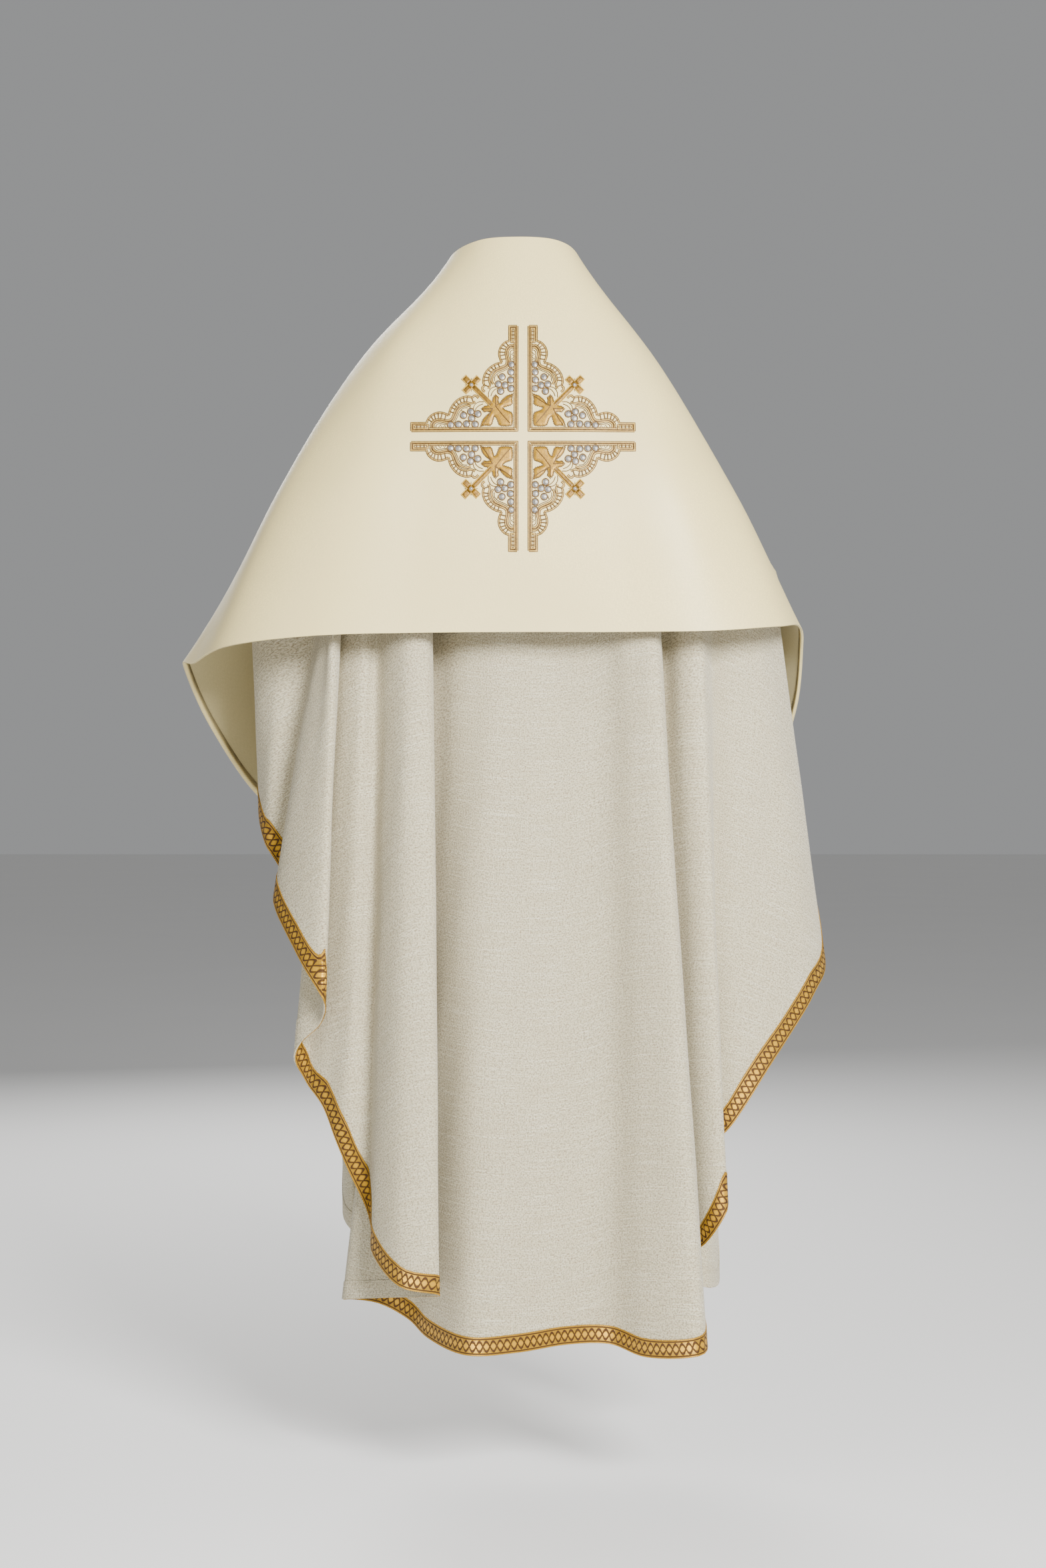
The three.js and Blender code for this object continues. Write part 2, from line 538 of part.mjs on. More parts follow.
// ---- the clasp ------------------------------------------------------------------------------
// Two plates sewn to the veil's front edges. A bar hinged on the left one reaches across
// and presses over a stud on the right one.
const wasm = await Module();
wasm.setup();
const FACETS = 14;
const PLATE_INSET = 22;       // veil's edge in to the middle of a plate
const CLASP_HALF = 34;        // centre line out to the hinge pin, and to the stud
const KNUCKLE_R = 3.4;
const BARREL_HALF = 3;
const KNUCKLE_HEIGHT = 4;
const STUD_R = 2.2;
const STRUT_R = 1.5;
const CLASP_LINES = [3, 19];  // the veil's lines that pass under the plates

function body(geometry) {
  for (const name of ['normal', 'uv']) geometry.deleteAttribute(name);
  const merged = mergeVertices(geometry);
  return new wasm.Manifold(new wasm.Mesh({
    numProp: 3,
    vertProperties: merged.getAttribute('position').array,
    triVerts: new Uint32Array(merged.index.array),
  }));
}

function geometryOf(made) {
  const { vertProperties, triVerts } = made.getMesh();
  const geometry = new THREE.BufferGeometry();
  geometry.setAttribute('position', new THREE.BufferAttribute(vertProperties, 3));
  geometry.setIndex(new THREE.BufferAttribute(triVerts, 1));
  geometry.computeVertexNormals();
  return geometry;
}

function rod(from, to, radius) {
  const way = to.clone().sub(from);
  const geometry = new THREE.CylinderGeometry(radius, radius, way.length(), FACETS);
  const turn = new THREE.Quaternion().setFromUnitVectors(new THREE.Vector3(0, 1, 0), way.clone().normalize());
  geometry.applyQuaternion(turn);
  const middle = from.clone().add(to).multiplyScalar(0.5);
  return body(geometry.translate(middle.x, middle.y, middle.z));
}

// Lays a round plate on the satin: its middle, and the way it faces.
function plateSpot(lineIndex) {
  const u = veilSamples.knots[lineIndex];
  const i = veilSamples.cuts.findIndex((cut) => cut.u >= u);
  const [edge, next] = satinFace[i];
  const spot = edge.clone().add(next.clone().sub(edge).setLength(PLATE_INSET));
  const facing = veilNormals[i][0].clone().add(veilNormals[i][1]).normalize();
  let high = 0;
  for (const [a, b, c] of facets(satinFace)) {
    for (let m = 0; m <= 10; m += 1) {
      for (let n = 0; m + n <= 10; n += 1) {
        const p = a.clone().multiplyScalar(1 - (m + n) / 10).addScaledVector(b, m / 10).addScaledVector(c, n / 10);
        const away = p.sub(spot);
        const height = away.dot(facing);
        const reach = away.addScaledVector(facing, -height).length();
        if (reach < CLASP_PLATE_R + 3 && height < 20) high = Math.max(high, height);
      }
    }
  }
  return { seat: spot.addScaledVector(facing, high + GAP), facing };
}

const [leftPlate, rightPlate] = CLASP_LINES.map(plateSpot).map(({ seat, facing }) => {
  const front = seat.clone().addScaledVector(facing, CLASP_PLATE_THICK);
  return { seat, front, disc: rod(seat, front, CLASP_PLATE_R) };
});
const claspY = Math.max(leftPlate.front.y, rightPlate.front.y) + KNUCKLE_R;
const claspZ = (leftPlate.front.z + rightPlate.front.z) / 2;
const onClasp = (x, y, z) => new THREE.Vector3(x, claspY + y, claspZ + z);
const pinTop = BARREL_HALF + CLASP_CLEAR + KNUCKLE_HEIGHT;

let left = leftPlate.disc;
for (const side of [-1, 1]) {
  const near = onClasp(-CLASP_HALF, 0, side * (BARREL_HALF + CLASP_CLEAR));
  const far = onClasp(-CLASP_HALF, 0, side * pinTop);
  const root = onClasp(-CLASP_HALF - KNUCKLE_R + 1, 0, side * (pinTop - KNUCKLE_HEIGHT / 2));
  const foot = leftPlate.front.clone().lerp(leftPlate.seat, 0.3);
  left = left.add(rod(near, far, KNUCKLE_R)).add(rod(foot, root, STRUT_R));
}
const pinWay = onClasp(-CLASP_HALF, 0, -pinTop - 5);
left = left.subtract(rod(pinWay, onClasp(-CLASP_HALF, 0, pinTop + 5), CLASP_PIN_R + GAP));
add('clasp_plate_left', geometryOf(left), metal.clasp);

const HEAD = 1.2;             // the pin's riveted heads
let pin = rod(onClasp(-CLASP_HALF, 0, -pinTop - GAP), onClasp(-CLASP_HALF, 0, pinTop + GAP), CLASP_PIN_R);
for (const side of [-1, 1]) {
  const under = onClasp(-CLASP_HALF, 0, side * (pinTop + GAP));
  pin = pin.add(rod(under, onClasp(-CLASP_HALF, 0, side * (pinTop + GAP + HEAD)), KNUCKLE_R - 0.6));
}
add('clasp_pin', geometryOf(pin), metal.clasp);

const half = CLASP_BAR_THICK / 2;
const strap = new THREE.BoxGeometry(2 * CLASP_HALF, CLASP_BAR_THICK, 2 * BARREL_HALF);
let bar = body(strap.translate(0, claspY, claspZ));
bar = bar.add(rod(onClasp(-CLASP_HALF, 0, -BARREL_HALF), onClasp(-CLASP_HALF, 0, BARREL_HALF), KNUCKLE_R));
bar = bar.add(rod(onClasp(0, -half, 0), onClasp(0, half, 0), CLASP_BAR_WIDTH));
bar = bar.add(rod(onClasp(CLASP_HALF, -half, 0), onClasp(CLASP_HALF, half, 0), 2.6 * STUD_R));
const stud = [onClasp(CLASP_HALF, -half - GAP - 4, 0), onClasp(CLASP_HALF, half + 1.5, 0)];
bar = bar.subtract(rod(onClasp(CLASP_HALF, -half - 1, 0), onClasp(CLASP_HALF, half + 1, 0), STUD_R + CLASP_CLEAR));
bar = bar.subtract(rod(pinWay, onClasp(-CLASP_HALF, 0, pinTop + 5), CLASP_PIN_R + CLASP_CLEAR));
add('clasp_bar', geometryOf(bar), metal.clasp);

const flange = onClasp(CLASP_HALF, -half - GAP - 2, 0);
const right = rightPlate.disc
  .add(rod(stud[0], stud[1], STUD_R))
  .add(rod(flange, onClasp(CLASP_HALF, -half - GAP, 0), 2.2 * STUD_R))
  .add(rod(rightPlate.front.clone().lerp(rightPlate.seat, 0.3), flange, STRUT_R));
add('clasp_plate_right', geometryOf(right), metal.clasp);

export default model;
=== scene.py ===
"""A Roman chasuble under its shoulder veil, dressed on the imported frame.

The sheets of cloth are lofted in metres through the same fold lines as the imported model,
then wrinkled, hemmed, braided and embroidered."""

import math

import bmesh
import bpy
from bpy.props import FloatProperty, FloatVectorProperty, IntProperty, PointerProperty
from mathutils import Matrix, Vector, geometry, noise
from mathutils.bvhtree import BVHTree


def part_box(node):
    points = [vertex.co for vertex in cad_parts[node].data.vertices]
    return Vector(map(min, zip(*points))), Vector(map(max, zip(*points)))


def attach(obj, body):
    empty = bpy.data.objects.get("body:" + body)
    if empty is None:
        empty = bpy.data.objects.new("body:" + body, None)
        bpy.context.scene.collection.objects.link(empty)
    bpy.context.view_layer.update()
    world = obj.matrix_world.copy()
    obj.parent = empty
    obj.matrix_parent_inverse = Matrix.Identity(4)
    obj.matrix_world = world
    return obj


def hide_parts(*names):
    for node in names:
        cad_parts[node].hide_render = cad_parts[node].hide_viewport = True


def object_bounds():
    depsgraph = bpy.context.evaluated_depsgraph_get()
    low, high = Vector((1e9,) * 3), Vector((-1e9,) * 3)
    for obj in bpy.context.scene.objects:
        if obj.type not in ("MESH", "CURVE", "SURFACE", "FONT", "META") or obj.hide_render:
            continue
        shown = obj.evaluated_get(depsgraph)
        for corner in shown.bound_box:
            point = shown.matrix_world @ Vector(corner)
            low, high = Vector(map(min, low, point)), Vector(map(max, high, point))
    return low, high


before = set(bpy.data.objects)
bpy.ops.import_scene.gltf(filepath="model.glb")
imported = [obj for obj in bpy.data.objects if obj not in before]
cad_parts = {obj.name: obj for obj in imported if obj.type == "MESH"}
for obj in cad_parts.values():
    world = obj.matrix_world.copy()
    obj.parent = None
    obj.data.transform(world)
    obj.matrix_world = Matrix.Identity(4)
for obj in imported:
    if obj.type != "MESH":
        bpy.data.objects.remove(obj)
cad_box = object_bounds()

bl_info = {
    "name": "Chasuble and shoulder veil",
    "version": (1, 0, 0),
    "blender": (4, 5, 0),
    "location": "3D View > Sidebar > Vestment",
    "description": "Drapes, trims and embroiders a chasuble worn under its shoulder veil",
    "category": "Object",
}

MM = 0.001

# ---- the drape, in millimetres -------------------------------------------------------
# The bearing line: neck side, shoulder, upper arm, elbow, forearm and wrist.
RIDGE_LEFT = [
    (-82, -8, 6), (-185, -12, -22), (-285, -2, -128),
    (-352, 20, -305), (-262, 150, -345), (-160, 265, -350),
]
RIDGE_RIGHT = [
    (80, -8, 6), (172, -12, -48), (262, -2, -190),
    (338, 20, -313), (262, 150, -350), (160, 265, -352),
]
NECK_BACK = (0, -60, 18)
NECK_FRONT = (0, 88, -46)
BACK_LENGTH = 1308
FRONT_LENGTH = 1272
BLADE = 0.07     # how far the shoulder blades push the back out, per drop
CHEST = 0.02

# Each fold line: its place on the bearing line, where it passes elbow height, and its
# end on the hem, whose height is counted up from the lowest hem.
BACK_FOLDS = [
    (-6, (-163, 268, -366), (-160, 270, 926)),
    (-5, (-228, 205, -385), (-220, 212, 876)),
    (-4.6, (-285, 145, -385), (-278, 158, 810)),
    (-4.3, (-335, 75, -372), (-328, 95, 752)),
    (-4, (-361, 0, -360), (-355, 40, 708)),
    (-3.6, (-324, -50, -360), (-341, -10, 654)),
    (-3.25, (-275, -66, -360), (-319, -15, 613)),
    (-3, (-262, -96, -360), (-323, -60, 579)),
    (-2.85, (-251, -116, -360), (-292, -112, 518)),
    (-2.7, (-243, -124, -360), (-257, -134, 458)),
    (-2.55, (-236, -108, -360), (-262, -106, 425)),
    (-2.45, (-240, -94, -360), (-288, -86, 398)),
    (-2.35, (-243, -84, -360), (-298, -70, 372)),
    (-2.28, (-238, -78, -360), (-284, -60, 345)),
    (-2.2, (-226, -88, -360), (-260, -78, 314)),
    (-2.1, (-207, -97, -360), (-230, -102, 243)),
    (-2, (-190, -88, -360), (-197, -100, 170)),
    (-1.85, (-171, -108, -360), (-190, -140, 132)),
    (-1.7, (-147, -132, -360), (-155, -184, 100)),
    (-1.55, (-123, -128, -360), (-112, -186, 91)),
    (-1.45, (-117, -104, -360), (-114, -158, 82)),
    (-1.38, (-125, -86, -360), (-170, -106, 70)),
    (-1.32, (-132, -74, -360), (-233, -72, 61)),
    (-1.26, (-130, -64, -360), (-228, -48, 57)),
    (-1.2, (-120, -60, -360), (-190, -40, 50)),
    (-1.1, (-106, -70, -360), (-150, -54, 32)),
    (-1, (-81, -92, -360), (-122, -92, 15)),
    (-0.5, (-42, -102, -360), (-71, -150, 6)),
    (0, (5, -104, -360), (-12, -146, 8)),
    (0.5, (57, -102, -360), (57, -117, 12)),
    (1, (104, -108, -360), (113, -112, 12)),
    (1.3, (138, -127, -360), (160, -148, 3)),
    (1.5, (166, -132, -360), (222, -174, 10)),
    (1.6, (175, -114, -360), (233, -142, 22)),
    (1.7, (170, -97, -360), (206, -104, 58)),
    (1.78, (166, -82, -360), (174, -76, 84)),
    (1.86, (170, -70, -360), (180, -54, 100)),
    (1.93, (182, -72, -360), (208, -62, 116)),
    (2, (202, -94, -360), (238, -96, 139)),
    (2.2, (225, -100, -360), (262, -100, 182)),
    (2.35, (238, -84, -360), (260, -68, 216)),
    (2.5, (248, -70, -360), (248, -42, 250)),
    (3, (271, -66, -360), (278, -44, 289)),
    (3.4, (301, -48, -360), (323, -30, 359)),
    (3.75, (328, -12, -362), (386, 10, 450)),
    (4, (346, 36, -368), (407, 60, 506)),
    (4.3, (326, 90, -380), (352, 112, 660)),
    (4.6, (282, 145, -388), (288, 160, 776)),
    (5, (226, 205, -388), (222, 213, 868)),
    (6, (163, 268, -368), (160, 270, 922)),
]
FRONT_FOLDS = [
    (-6, (-156, 264, -366), (-153, 264, 888)),
    (-5.6, (-140, 256, -400), (-134, 258, 715)),
    (-5.3, (-160, 218, -405), (-150, 226, 512)),
    (-5, (-208, 160, -420), (-206, 178, 330)),
    (-4.5, (-262, 92, -420), (-248, 118, 128)),
    (-4, (-252, 48, -430), (-226, 62, 82)),
    (-3, (-212, 104, -360), (-184, 148, 36)),
    (-2, (-166, 132, -360), (-132, 204, 12)),
    (-1.4, (-122, 108, -360), (-88, 150, 6)),
    (-1, (-92, 118, -360), (-66, 168, 3)),
    (-0.55, (-56, 128, -360), (-40, 184, 0)),
    (0, (0, 114, -360), (4, 150, 2)),
    (0.55, (56, 128, -360), (44, 186, 0)),
    (1, (92, 118, -360), (72, 168, 2)),
    (1.4, (122, 108, -360), (96, 152, 4)),
    (2, (166, 132, -360), (142, 202, 8)),
    (3, (212, 104, -360), (196, 146, 14)),
    (4, (252, 48, -430), (238, 52, 18)),
    (4.5, (262, 92, -420), (268, 104, 26)),
    (5, (208, 160, -420), (214, 178, 236)),
    (5.3, (160, 218, -405), (156, 226, 470)),
    (5.6, (140, 256, -400), (136, 258, 700)),
    (6, (156, 264, -366), (153, 264, 884)),
]
VEIL_LINES = [
    ((-72, 290, -262), (-88, 352, -330), (-92, 376, -520), (-95, 382, -770)),
    ((-70, 235, -240), (-112, 312, -282), (-136, 360, -440), (-152, 368, -720)),
    ((-60, 165, -182), (-124, 258, -242), (-182, 325, -372), (-222, 332, -672)),
    ((-52, 130, -112), (-142, 200, -208), (-232, 268, -350), (-302, 280, -634)),
    ((-60, 122, -68), (-166, 156, -188), (-284, 195, -338), (-372, 203, -590)),
    ((-72, 108, -18), (-190, 112, -146), (-322, 126, -300), (-434, 132, -490)),
    ((-82, 90, 26), (-210, 72, -92), (-340, 62, -250), (-460, 62, -412)),
    ((-92, 68, 64), (-220, 38, -42), (-335, 10, -205), (-438, -8, -410)),
    ((-100, 38, 102), (-208, -10, 2), (-304, -74, -178), (-385, -102, -393)),
    ((-95, 0, 132), (-170, -76, -5), (-222, -138, -190), (-272, -152, -382)),
    ((-58, -36, 146), (-88, -104, -12), (-112, -147, -195), (-135, -157, -378)),
    ((-8, -50, 148), (-4, -110, -14), (0, -150, -195), (0, -158, -377)),
    ((42, -40, 146), (82, -105, -14), (108, -149, -195), (130, -158, -377)),
    ((70, -8, 135), (148, -78, -15), (205, -138, -195), (245, -152, -375)),
    ((78, 30, 108), (182, -16, -20), (268, -72, -188), (330, -100, -367)),
    ((76, 62, 68), (190, 35, -68), (295, 5, -213), (368, -5, -362)),
    ((74, 88, 28), (186, 70, -112), (302, 62, -260), (378, 62, -392)),
    ((68, 108, -18), (174, 112, -158), (296, 124, -312), (376, 122, -468)),
    ((60, 122, -68), (158, 158, -196), (274, 192, -345), (346, 198, -566)),
    ((52, 130, -112), (142, 200, -210), (230, 266, -354), (292, 278, -612)),
    ((60, 165, -182), (124, 258, -244), (182, 325, -372), (220, 332, -656)),
    ((70, 235, -240), (112, 312, -284), (136, 360, -440), (150, 368, -712)),
    ((72, 290, -262), (88, 352, -332), (92, 376, -520), (96, 382, -764)),
]
# The sheets' cut sizes in metres, and their cut areas in square metres.
BACK_FLAT = ((2.9, 1.36), 1.55)
FRONT_FLAT = ((2.6, 1.32), 1.25)

# Small heights and sizes in metres.
LAYER_GAP = 0.0003        # between one layer of cloth and the next
BRAID_GAP = 0.0001        # between the chasuble and the braid sewn to it
TURNED_HEM = (-0.0006, 0.0002)    # from its wrong side to the cloth it is turned from
TURNED_SATIN = (-0.0005, -0.0001)
HEM_SEAM_DEPTH = -0.0007
VEIL_SEAM_DEPTH = -0.0006
PICOT_HEIGHT = 0.0004
HEM_STITCH = {"Length": 0.0024, "Width": 0.0006}
PICOT_LOOP = {"Length": 0.0023, "Width": 0.0017}
VEIL_STITCH = {"Length": 0.0018, "Width": 0.0005}
PIPING_RADIUS = 0.0013
COLLAR_THICK = 0.0018
COLLAR_STAND = 0.0004     # from the neck's edge in to the band
COLLAR_CORNERS = 48       # on each half of the neck

LINE_KNOTS = [0, 0.1, 0.3, 0.5, 0.75, 1]
VEIL_KNOTS = [0, 1 / 3, 2 / 3, 1]


# ---- lofting ---------------------------------------------------------------------------
def metres(point):
    return Vector(point) * MM


def through(points, knots, t):
    """A cubic through points at uneven knots."""
    last = len(points) - 1
    i = 0
    while i < last - 1 and t > knots[i + 1]:
        i += 1

    def slope(k):
        a, b = max(k - 1, 0), min(k + 1, last)
        return (points[b] - points[a]) / (knots[b] - knots[a])

    h = knots[i + 1] - knots[i]
    s = (t - knots[i]) / h
    s2, s3 = s * s, s * s * s
    return (
        points[i] * (2 * s3 - 3 * s2 + 1) + slope(i) * (h * (s3 - 2 * s2 + s))
        + points[i + 1] * (3 * s2 - 2 * s3) + slope(i + 1) * (h * (s3 - s2))
    )


def bearing(q, neck):
    """A point on the bearing line: 0 is the neck, 1 its side, and 6 the wrist."""
    side = [metres(p) for p in (RIDGE_LEFT if q < 0 else RIDGE_RIGHT)]
    at = abs(q)
    if at >= 1:
        return through(side, range(1, 7), at)
    middle, corner = metres(neck), side[0]
    turn = at * math.pi / 2
    point = corner.lerp(middle, math.cos(turn))
    point.x = middle.x + (corner.x - middle.x) * math.sin(turn)
    return point


def fold_line(fold, neck, length, swell):
    q, arm, hem = fold
    top = bearing(q, neck)
    arm = metres(arm)
    hem = metres((hem[0], hem[1], hem[2] - length))
    over = top.lerp(arm, 0.4)
    over.z = top.z + (arm.z - top.z) * 0.1
    back = top.lerp(arm, 0.78)
    back.z = top.z + (arm.z - top.z) * 0.42
    back.y += swell * (top.z - arm.z)
    return [top, over, back, arm, arm.lerp(hem, 0.5), hem]


def loft(lines, step):
    """Columns of control points between and on the given lines, a step apart or less."""
    knots = [0]
    cuts = []
    for i in range(1, len(lines)):
        low = (lines[i][-1] - lines[i - 1][-1]).length
        mid = (lines[i][2] - lines[i - 1][2]).length
        knots.append(knots[-1] + math.sqrt((low + mid) / MM))
        steps = max(2, round(max(low, mid) / step))
        cuts += [(i - 1, k / steps) for k in range(steps)]
    cuts.append((len(lines) - 2, 1))
    columns = []
    for i, s in cuts:
        u = knots[i] + (knots[i + 1] - knots[i]) * s
        columns.append([through([line[row] for line in lines], knots, u) for row in range(len(lines[0]))])
    return columns, cuts


def grid_normals(grid):
    normals = []
    last, low = len(grid) - 1, len(grid[0]) - 1
    for i, column in enumerate(grid):
        left, right = grid[max(i - 1, 0)], grid[min(i + 1, last)]
        normals.append([
            (right[j] - left[j]).cross(column[max(j - 1, 0)] - column[min(j + 1, low)]).normalized()
            for j in range(low + 1)
        ])
    return normals


def offset(grid, normals, height):
    return [[p + n * height for p, n in zip(column, ns)] for column, ns in zip(grid, normals)]


def arc_lengths(points):
    lengths = [0.0]
    for a, b in zip(points, points[1:]):
        lengths.append(lengths[-1] + (b - a).length)
    return lengths


def flat_cut(grid):
    """Where each point lay in the flat cloth: columns fan out to both sides of the middle one."""
    last = len(grid) - 1
    centre = min(range(last + 1), key=lambda i: abs(grid[i][0].x))
    result = [None] * (last + 1)
    for way in (-1, 1):
        turn = 0.0
        top = Vector((0, 0))
        i = centre
        while 0 <= i <= last:
            reach = arc_lengths(grid[i])
            if i != centre:
                fall = (grid[i][-1] - grid[i][0]).normalized()
                step = grid[i][0] - grid[i - way][0]
                low = grid[i][-1] - grid[i - way][-1]
                side = (step - fall * step.dot(fall)).length
                spread = (low - fall * low.dot(fall)).length
                turn += way * max(spread - side, 0) / reach[-1]
                outward = Vector((math.cos(turn), math.sin(turn))) * way
                top = top + outward * side + Vector((math.sin(turn), -math.cos(turn))) * step.dot(fall)
            result[i] = [(top.x + math.sin(turn) * d, top.y - math.cos(turn) * d) for d in reach]
            i += way
    return result


def strip_cut(grid, widths):
    """Along the grid's last row first, and square up from it second, for rows at the given widths."""
    edge = [column[-1] for column in grid]
    along = arc_lengths(edge)
    result = []
    for i, column in enumerate(grid):
        way = (edge[min(i + 1, len(edge) - 1)] - edge[max(i - 1, 0)]).normalized()
        result.append([(along[i] + (p - edge[i]).dot(way), width) for p, width in zip(column, widths)])
    return result


# ---- meshes ----------------------------------------------------------------------------
SHARP = math.radians(55)


def mesh_object(name, points, faces, material, uvs=None):
    mesh = bpy.data.meshes.new(name)
    mesh.from_pydata([tuple(p) for p in points], [], faces)
    if uvs:
        layer = mesh.uv_layers.new(name="cut")
        layer.data.foreach_set("uv", [c for loop in mesh.loops for c in uvs[loop.vertex_index]])
    mesh.shade_smooth()
    mesh.set_sharp_from_angle(angle=SHARP)
    mesh.materials.append(material)
    piece = bpy.data.objects.new(name, mesh)
    bpy.context.scene.collection.objects.link(piece)
    return piece


def shell(name, grid, normals, low, high, material, uvs):
    """A closed sheet between two heights over a grid, measured along its normals."""
    across, down = len(grid), len(grid[0])
    points = [p for layer in (high, low) for column in offset(grid, normals, layer) for p in column]
    flat = [uv for column in uvs for uv in column] * 2
    base = across * down
    faces = []
    for i in range(across - 1):
        a, b = i * down, (i + 1) * down
        for j in range(down - 1):
            faces.append((a + j, a + j + 1, b + j + 1, b + j))
            faces.append((base + a + j, base + b + j, base + b + j + 1, base + a + j + 1))
        faces.append((a, b, base + b, base + a))
        c = down - 1
        faces.append((a + c, base + a + c, base + b + c, b + c))
    end = (across - 1) * down
    for j in range(down - 1):
        faces.append((j, base + j, base + j + 1, j + 1))
        faces.append((end + j, end + j + 1, base + end + j + 1, base + end + j))
    return mesh_object(name, points, faces, material, flat)


def wire(name, runs, closed=False):
    """Loose edges for a node tree to follow: one run of points after another."""
    points, edges = [], []
    for run in runs:
        first = len(points)
        points += run
        edges += [(k, k + 1) for k in range(first, len(points) - 1)]
        if closed:
            edges.append((len(points) - 1, first))
    mesh = bpy.data.meshes.new(name)
    mesh.from_pydata([tuple(p) for p in points], edges, [])
    piece = bpy.data.objects.new(name, mesh)
    bpy.context.scene.collection.objects.link(piece)
    return piece


# ---- node trees ------------------------------------------------------------------------
def link_chain(tree, *pairs):
    for start, end in pairs:
        tree.links.new(start, end)


def new_tree(name, kind, inputs, outputs):
    tree = bpy.data.node_groups.new(name, kind)
    for label, socket, default in inputs:
        made = tree.interface.new_socket(label, in_out="INPUT", socket_type=socket)
        if default is not None:
            made.default_value = default
    for label, socket in outputs:
        tree.interface.new_socket(label, in_out="OUTPUT", socket_type=socket)
    return tree, tree.nodes.new("NodeGroupInput").outputs, tree.nodes.new("NodeGroupOutput").inputs


def stitch_tree():
    """Small oval stitches or loops, end to end along every wire."""
    tree, given, result = new_tree("stitches_along", "GeometryNodeTree", [
        ("Wires", "NodeSocketGeometry", None),
        ("Spacing", "NodeSocketFloat", 0.003),
        ("Length", "NodeSocketFloat", 0.002),
        ("Width", "NodeSocketFloat", 0.0006),
        ("Thread", "NodeSocketMaterial", None),
    ], [("Stitches", "NodeSocketGeometry")])
    nodes = tree.nodes
    curve = nodes.new("GeometryNodeMeshToCurve")
    spots = nodes.new("GeometryNodeCurveToPoints")
    spots.mode = "LENGTH"
    bead = nodes.new("GeometryNodeMeshIcoSphere")
    bead.inputs["Radius"].default_value = 0.5
    bead.inputs["Subdivisions"].default_value = 1
    size = nodes.new("ShaderNodeCombineXYZ")
    place = nodes.new("GeometryNodeInstanceOnPoints")
    real = nodes.new("GeometryNodeRealizeInstances")
    smooth = nodes.new("GeometryNodeSetShadeSmooth")
    paint = nodes.new("GeometryNodeSetMaterial")
    link_chain(
        tree,
        (given["Wires"], curve.inputs["Mesh"]),
        (curve.outputs["Curve"], spots.inputs["Curve"]),
        (given["Spacing"], spots.inputs["Length"]),
        (spots.outputs["Points"], place.inputs["Points"]),
        (bead.outputs["Mesh"], place.inputs["Instance"]),
        (spots.outputs["Rotation"], place.inputs["Rotation"]),
        (given["Width"], size.inputs["X"]),
        (given["Width"], size.inputs["Y"]),
        (given["Length"], size.inputs["Z"]),
        (size.outputs["Vector"], place.inputs["Scale"]),
        (place.outputs["Instances"], real.inputs["Geometry"]),
        (real.outputs["Geometry"], smooth.inputs["Geometry"]),
        (smooth.outputs["Geometry"], paint.inputs["Geometry"]),
        (given["Thread"], paint.inputs["Material"]),
        (paint.outputs["Geometry"], result["Stitches"]),
    )
    return tree


def cord_tree():
    """A round couched cord along every wire."""
    tree, given, result = new_tree("couched_cord", "GeometryNodeTree", [
        ("Wires", "NodeSocketGeometry", None),
        ("Radius", "NodeSocketFloat", 0.0004),
        ("Sides", "NodeSocketInt", 6),
        ("Thread", "NodeSocketMaterial", None),
    ], [("Cords", "NodeSocketGeometry")])
    nodes = tree.nodes
    curve = nodes.new("GeometryNodeMeshToCurve")
    ring = nodes.new("GeometryNodeCurvePrimitiveCircle")
    sweep = nodes.new("GeometryNodeCurveToMesh")
    sweep.inputs["Fill Caps"].default_value = True
    real = nodes.new("GeometryNodeRealizeInstances")
    smooth = nodes.new("GeometryNodeSetShadeSmooth")
    paint = nodes.new("GeometryNodeSetMaterial")
    link_chain(
        tree,
        (given["Wires"], curve.inputs["Mesh"]),
        (given["Radius"], ring.inputs["Radius"]),
        (given["Sides"], ring.inputs["Resolution"]),
        (curve.outputs["Curve"], sweep.inputs["Curve"]),
        (ring.outputs["Curve"], sweep.inputs["Profile Curve"]),
        (sweep.outputs["Mesh"], real.inputs["Geometry"]),
        (real.outputs["Geometry"], smooth.inputs["Geometry"]),
        (smooth.outputs["Geometry"], paint.inputs["Geometry"]),
        (given["Thread"], paint.inputs["Material"]),
        (paint.outputs["Geometry"], result["Cords"]),
    )
    return tree


def follow(name, runs, tree, values, closed=False):
    """Runs a node tree over wires and keeps the result as a plain mesh."""
    guide = wire(f"{name}_wires", runs, closed)
    modifier = guide.modifiers.new("follow", "NODES")
    modifier.node_group = tree
    for item in tree.interface.items_tree:
        if item.in_out == "INPUT" and item.name in values:
            modifier[item.identifier] = values[item.name]
    evaluated = guide.evaluated_get(bpy.context.evaluated_depsgraph_get())
    mesh = bpy.data.meshes.new_from_object(evaluated)
    mesh.name = name
    piece = bpy.data.objects.new(name, mesh)
    bpy.context.scene.collection.objects.link(piece)
    bpy.data.objects.remove(guide)
    return piece


